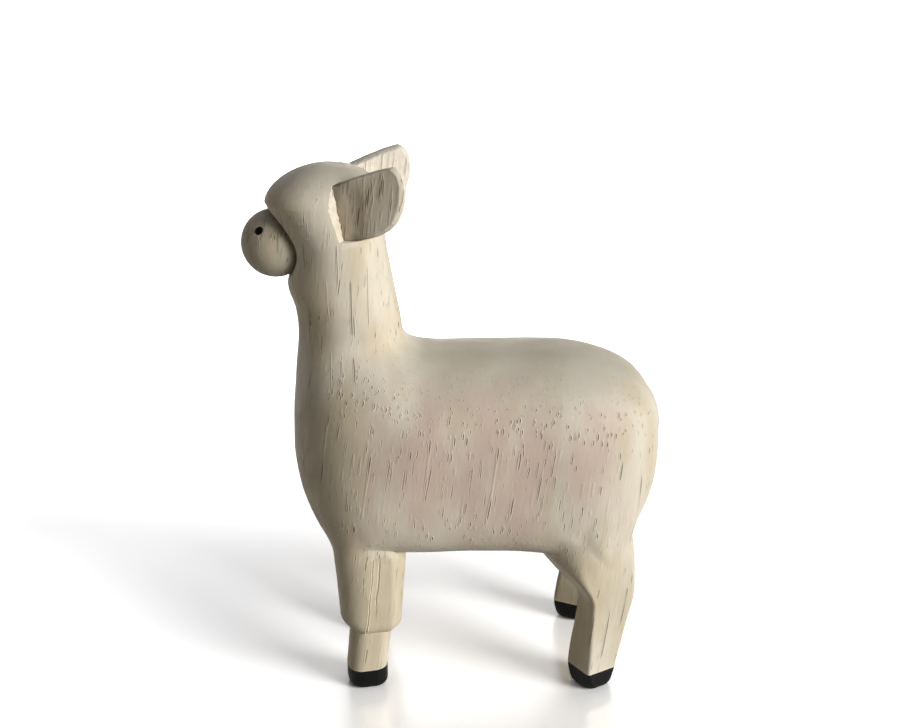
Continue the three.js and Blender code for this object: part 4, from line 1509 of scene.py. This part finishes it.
@dataclass(frozen=True)
class BlackPaint:
    """Black craft paint, brushed on wood: matt, a little chalky, and thin on the edges."""

    name: str = "black_craft_paint"
    paint: str = "#060606"
    gloss: float = 0.1
    chalk: str = "#262522"
    wood: str = "#7a6b57"

    def material(self) -> bpy.types.Material:
        """Builds the finish."""
        material, add, place = start_finish(self.name)
        brushed, specks = (
            add(NOISE, {"Vector": add(VECTOR, {0: place, 1: size}, operation="DIVIDE"), "Scale": 1.0, "Detail": detail})
            for size, detail in (((0.35, 0.35, 1.6), 4.0), ((0.28, 0.28, 0.28), 3.0)))
        streaks, dots, bald = (
            add(RANGE, {0: noise, 1: start, 2: end, 4: most}, interpolation_type=SMOOTH)
            for noise, start, end, most in ((brushed, 0.45, 0.75, 1.0), (specks, 0.4, 0.7, 1.0),
                                            (specks, 0.5, 0.7, 0.4)))
        dusty = add(MATH, {0: streaks, 1: dots}, operation="MULTIPLY")
        wear = add("ShaderNodeAttribute", attribute_name=WEAR).outputs["Fac"]
        thin = add(MATH, {0: wear, 1: bald}, operation="MULTIPLY")
        painted = add(MIX, {0: dusty, 6: self.paint, 7: self.chalk}, data_type="RGBA").outputs[2]
        base = add(MIX, {0: thin, 6: painted, 7: self.wood}, data_type="RGBA").outputs[2]
        roughness = add(RANGE, {0: brushed, 1: 0.3, 2: 0.7, 3: 0.42, 4: 0.65}, interpolation_type=SMOOTH)
        relief = add(MATH, {0: brushed, 1: 0.08}, operation="MULTIPLY")
        relief = add(MATH, {0: specks, 1: 0.04, 2: relief}, operation="MULTIPLY_ADD")
        end_finish(add, base, roughness, relief, self.gloss)
        return material


@dataclass(frozen=True)
class BareDowel:
    """Bare beech dowel, turned and unfinished: warm and dull, with short dark flecks along it."""

    wood: str = "#cfae7c"
    dark: str = "#b08c5c"

    def material(self) -> bpy.types.Material:
        """Builds the finish."""
        material, add, place = start_finish("bare_beech")
        fibres, flecks = (
            add(NOISE, {"Vector": add(VECTOR, {0: place, 1: size}, operation="DIVIDE"), "Scale": 1.0, "Detail": detail})
            for size, detail in (((0.3, 0.3, 5.0), 3.0), ((0.2, 0.2, 1.2), 2.0)))
        flecks = add(RANGE, {0: flecks, 1: 0.55, 2: 0.7, 4: 0.5}, interpolation_type=SMOOTH)
        share = add(MATH, {0: fibres, 1: 0.6, 2: flecks}, operation="MULTIPLY_ADD", use_clamp=True)
        base = add(MIX, {0: share, 6: self.wood, 7: self.dark}, data_type="RGBA").outputs[2]
        roughness = add(RANGE, {0: fibres, 1: 0.3, 2: 0.7, 3: 0.62, 4: 0.8}, interpolation_type=SMOOTH)
        end_finish(add, base, roughness, add(MATH, {0: fibres, 1: 0.04}, operation="MULTIPLY"))
        return material


# Scene


@dataclass
class Studio:
    """Pale floor, soft light from the animal's rear left, and the camera.

    Attributes:
        azimuth: Degrees of the camera round the figure, from the front towards its left side.
        elevation: Degrees of the camera above level.
        distance: Millimetres from the camera to its target.
        target: What the camera looks at.
        lens: Focal length, on a sensor 36 mm wide.
        paper: Linear colour of the floor as the camera sees it, bright enough to be white.
        bounce: Linear colour of the floor as it lights the figure.
        glow_start: Distance from the middle at which the floor starts to glow, out of the feet's shadows.
        glow_end: Distance at which the glow is full.
        glow: Full glow.
        polish: Share of the floor that mirrors.
        polish_roughness: Roughness of the mirror.
        low_fill: Strength of the world's light from the sides.
        high_fill: Strength of the world's light from above.
    """

    azimuth: float = 87.5
    elevation: float = 19.5
    distance: float = 250.0
    target: tuple[float, float, float] = (0.0, -0.333, 58.5)
    lens: float = 55.0
    paper: tuple[float, float, float, float] = (2.63, 2.69, 2.84, 1.0)
    bounce: tuple[float, float, float, float] = (0.32, 0.31, 0.28, 1.0)
    glow_start: float = 22.0
    glow_end: float = 100.0
    glow: float = 0.58
    polish: float = 0.36
    polish_roughness: float = 0.22
    low_fill: float = 0.185
    high_fill: float = 0.075

    def camera(self) -> None:
        """Places the camera where the photograph was taken from."""
        turn, rise = math.radians(self.azimuth), math.radians(self.elevation)
        back = Vector((math.sin(turn) * math.cos(rise), -math.cos(turn) * math.cos(rise), math.sin(rise)))
        data = bpy.data.cameras.new("camera")
        data.lens, data.sensor_width = self.lens, 36.0
        data.clip_start, data.clip_end = 0.01, 20.0
        camera = put("camera", data)
        camera.location = (Vector(self.target) + back * self.distance) * MM
        camera.rotation_mode = "QUATERNION"
        camera.rotation_quaternion = (-back).to_track_quat("-Z", "Y")
        bpy.context.scene.camera = camera

    def sun(self, name: str, direction: Sequence[float], strength: float, spread: float, tint: str) -> None:
        """Adds soft light from a direction.

        Args:
            name: Name of the lamp.
            direction: Where it comes from.
            strength: Its strength, where pi is full.
            spread: Its width in degrees, which softens it.
            tint: Its colour.
        """
        data = bpy.data.lights.new(name, "SUN")
        data.energy, data.angle = strength, math.radians(spread)
        data.color = colour(tint)[:3]
        lamp = put(name, data)
        lamp.rotation_mode = "QUATERNION"
        lamp.rotation_quaternion = Vector(direction).to_track_quat("Z", "Y")

    def seen(self, add: Adder) -> bpy.types.Node:
        """1 for rays from the camera, straight or by way of something shiny or clear, and 0 for all light."""
        path = add("ShaderNodeLightPath").outputs
        shiny = add(MATH, {0: path["Is Glossy Ray"], 1: path["Is Transmission Ray"]}, operation="MAXIMUM")
        return add(MATH, {0: path["Is Camera Ray"], 1: shiny}, operation="MAXIMUM")

    def floor(self) -> None:
        """Lays the floor, which is white to the eye and keeps the shadows round the feet."""
        mesh = bpy.data.meshes.new("floor")
        mesh.from_pydata([(-8, -8, 0), (8, -8, 0), (8, 8, 0), (-8, 8, 0)], [], [(0, 1, 2, 3)])
        material, add, place = start_finish("white_paper")
        away = add(VECTOR, {0: place}, operation="LENGTH").outputs["Value"]
        strength = add(RANGE, {0: away, 1: self.glow_start, 2: self.glow_end, 4: self.glow}, interpolation_type=SMOOTH)
        glow = add("ShaderNodeEmission", {"Color": WHITE, "Strength": strength})
        paper = add("ShaderNodeBsdfDiffuse", {"Color": self.paper})
        bright = add("ShaderNodeAddShader", {0: paper, 1: glow})
        mirror = add("ShaderNodeBsdfGlossy", {"Color": WHITE, "Roughness": self.polish_roughness})
        top = add("ShaderNodeMixShader", {0: self.polish, 1: bright, 2: mirror})
        bounce = add("ShaderNodeBsdfDiffuse", {"Color": self.bounce})
        mix = add("ShaderNodeMixShader", {0: self.seen(add), 1: bounce, 2: top})
        add("ShaderNodeOutputMaterial", {"Surface": mix})
        mesh.materials.append(material)
        put("floor", mesh)

    def world(self) -> None:
        """White to the camera, and to everything else a dim light that comes more from the sides than from above."""
        world = bpy.data.worlds.new("studio")
        bpy.context.scene.world = world
        world.use_nodes = True
        world.node_tree.nodes.clear()
        add = partial(add_node, world.node_tree)
        height = add("ShaderNodeSeparateXYZ", {0: add("ShaderNodeTexCoord").outputs["Generated"]}).outputs[2]
        high = add(RANGE, {0: height, 1: -0.2, 2: 0.8}, interpolation_type=SMOOTH)
        tint = add(MIX, {0: high, 6: "#ffe8c2", 7: "#f3f4fb"}, data_type="RGBA").outputs[2]
        strength = add(RANGE, {0: height, 1: -0.1, 2: 1.0, 3: self.low_fill, 4: self.high_fill},
                       interpolation_type=SMOOTH)
        fill = add("ShaderNodeBackground", {"Color": tint, "Strength": strength})
        white = add("ShaderNodeBackground", {"Color": WHITE, "Strength": 1.0})
        mix = add("ShaderNodeMixShader", {0: self.seen(add), 1: fill, 2: white})
        add("ShaderNodeOutputWorld", {"Surface": mix})

    def build(self) -> None:
        """Sets up the whole studio."""
        bpy.context.scene.view_settings.view_transform = "Standard"
        self.camera()
        self.floor()
        self.world()
        self.sun("window", (0.53, 0.79, 0.31), strength=2.76, spread=28.0, tint="#fffcf5")
        self.sun("far_side_fill", (-1.0, 0.0, 0.0), strength=1.3, spread=20.0, tint="#fff8ec")


def main() -> None:
    """Builds the figure and the studio."""
    logging.basicConfig(level=logging.INFO, format="%(name)s %(message)s")
    wood = WashedWood().material()
    scores = Pores(spacing=0.6, radius=0.12, wander=0.35, reach=40.0, run=4.5, closed=0.38, stain=1.0)
    scored = WashedWood("scored_whitewashed_hardwood", cream="#e2d9cb", straw="#d5cab6", fibre=0.14, limb_pores=1.0,
                        thin=1.0, flecks=scores).material()
    # Painted shade: the muzzle ball gets a darker, greyer copy of the wash, for the hood's shadow over it.
    shaded_ball_wood = WashedWood("turned_whitewashed_hardwood_in_painted_shade", cream="#d5cfc0", straw="#c7bda7", limb_pores=1.0,
                           thin=0.6).material()
    paint = BlackPaint().material()
    stained = BlackPaint("black_stained_peg", paint="#020202", gloss=0.03, chalk="#0b0a08").material()
    dowel = BareDowel().material()
    block = BodyBlock()
    front, rear = FrontLeg(block), RearLeg(block)
    stance = Stance(block, front, rear)
    muzzle, tail = Muzzle(block), Tail(block)
    ears = {Side.LEFT: Ear(block), Side.RIGHT: Ear(block, length=13.6)}

    body = muzzle.socket(stance.settle_block(block.skin()).uneven())
    knives = [ears[Side.LEFT].cutter().mesh("left_notch"), ears[Side.RIGHT].cutter().mirrored().mesh("right_notch")]
    carved = carve(body.mesh("carved_body"), knives, sharp=35.0)
    ball = muzzle.ball()
    # Raw wood at the ear notches and the front legs' splits, and painted shade round the muzzle's seat.
    mark_wood(carved, lambda points: np.maximum(ears[Side.LEFT].chipped(points), front.chipped(points)),
              closeness(ball.grid.reshape(-1, 3), reach=1.1))
    place_piece(carved, wood, "torso")
    # Painted shade: the muzzle darkens next to the hood's rim, and the ears' faces next to their notches.
    neck_height, notch_shade_strength = 0.06, 0.8
    head = np.array([vertex.co for vertex in carved.vertices if vertex.co.z > neck_height]) / MM
    by_head, by_notch = closeness(head, reach=1.8), closeness(head, reach=3.4)
    for name, skin, finish, painted_gap_shade in (("muzzle", ball, shaded_ball_wood, by_head), ("tail", tail.leaf(), wood, None)):
        mesh = skin.mesh(f"carved_{name}")
        mark_wood(mesh, None, painted_gap_shade)
        place_piece(mesh, finish, name)

    shapes = {
        "eye": (muzzle.eye(), stained, Slot.BLACK_PAINT, "{}_eye"),
        "front_sleeve": (stance.upper_leg().uneven(), wood, Slot.PALE_WOOD, "front_{}_upper_leg"),
        "front_shank": (stance.lower_leg().uneven(), wood, Slot.PALE_WOOD, "front_{}_lower_leg"),
        "front_hoof": (stance.hoof(front.hoof, front.hoof_place, front.hoof_height), paint, Slot.BLACK_PAINT,
                       "front_{}_hoof"),
        "rear_leg": (stance.rear_leg().uneven(), wood, Slot.PALE_WOOD, "rear_{}_leg"),
        "rear_hoof": (stance.hoof(rear.hoof, rear.place, rear.hoof_height), paint, Slot.BLACK_PAINT, "rear_{}_hoof"),
    }
    for side in Side:
        # Raw wood, partly painted light: the ear's back is kept pale where the far ear catches the light.
        raw_and_lit = {"front_sleeve": front.chipped, "ear": ears[side].raw_and_lit}
        # Painted shade on the ear's face near the head's notch, kept off its raw back.
        painted_gap_shade_at = {"ear": lambda points: notch_shade_strength * by_notch(points) * (1.0 - ears[side].raw_and_lit(points))}
        shapes["ear"] = (ears[side].plate(), scored, Slot.PALE_WOOD, "{}_ear")
        for name, (skin, finish, slot, node) in shapes.items():
            mesh = (skin if side is Side.LEFT else skin.mirrored()).mesh(f"carved_{side.value}_{name}")
            mark_wood(mesh, raw_and_lit.get(name), painted_gap_shade_at.get(name))
            place_piece(mesh, finish, node.format(side.value))

    for name in ("muzzle_dowel", "left_ear_pin", "right_ear_pin", "rear_left_dowel", "rear_right_dowel"):
        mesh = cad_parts[name].data
        mesh.materials.clear()
        mesh.materials.append(dowel)

    Studio().build()


if __name__ == "__main__":
    main()
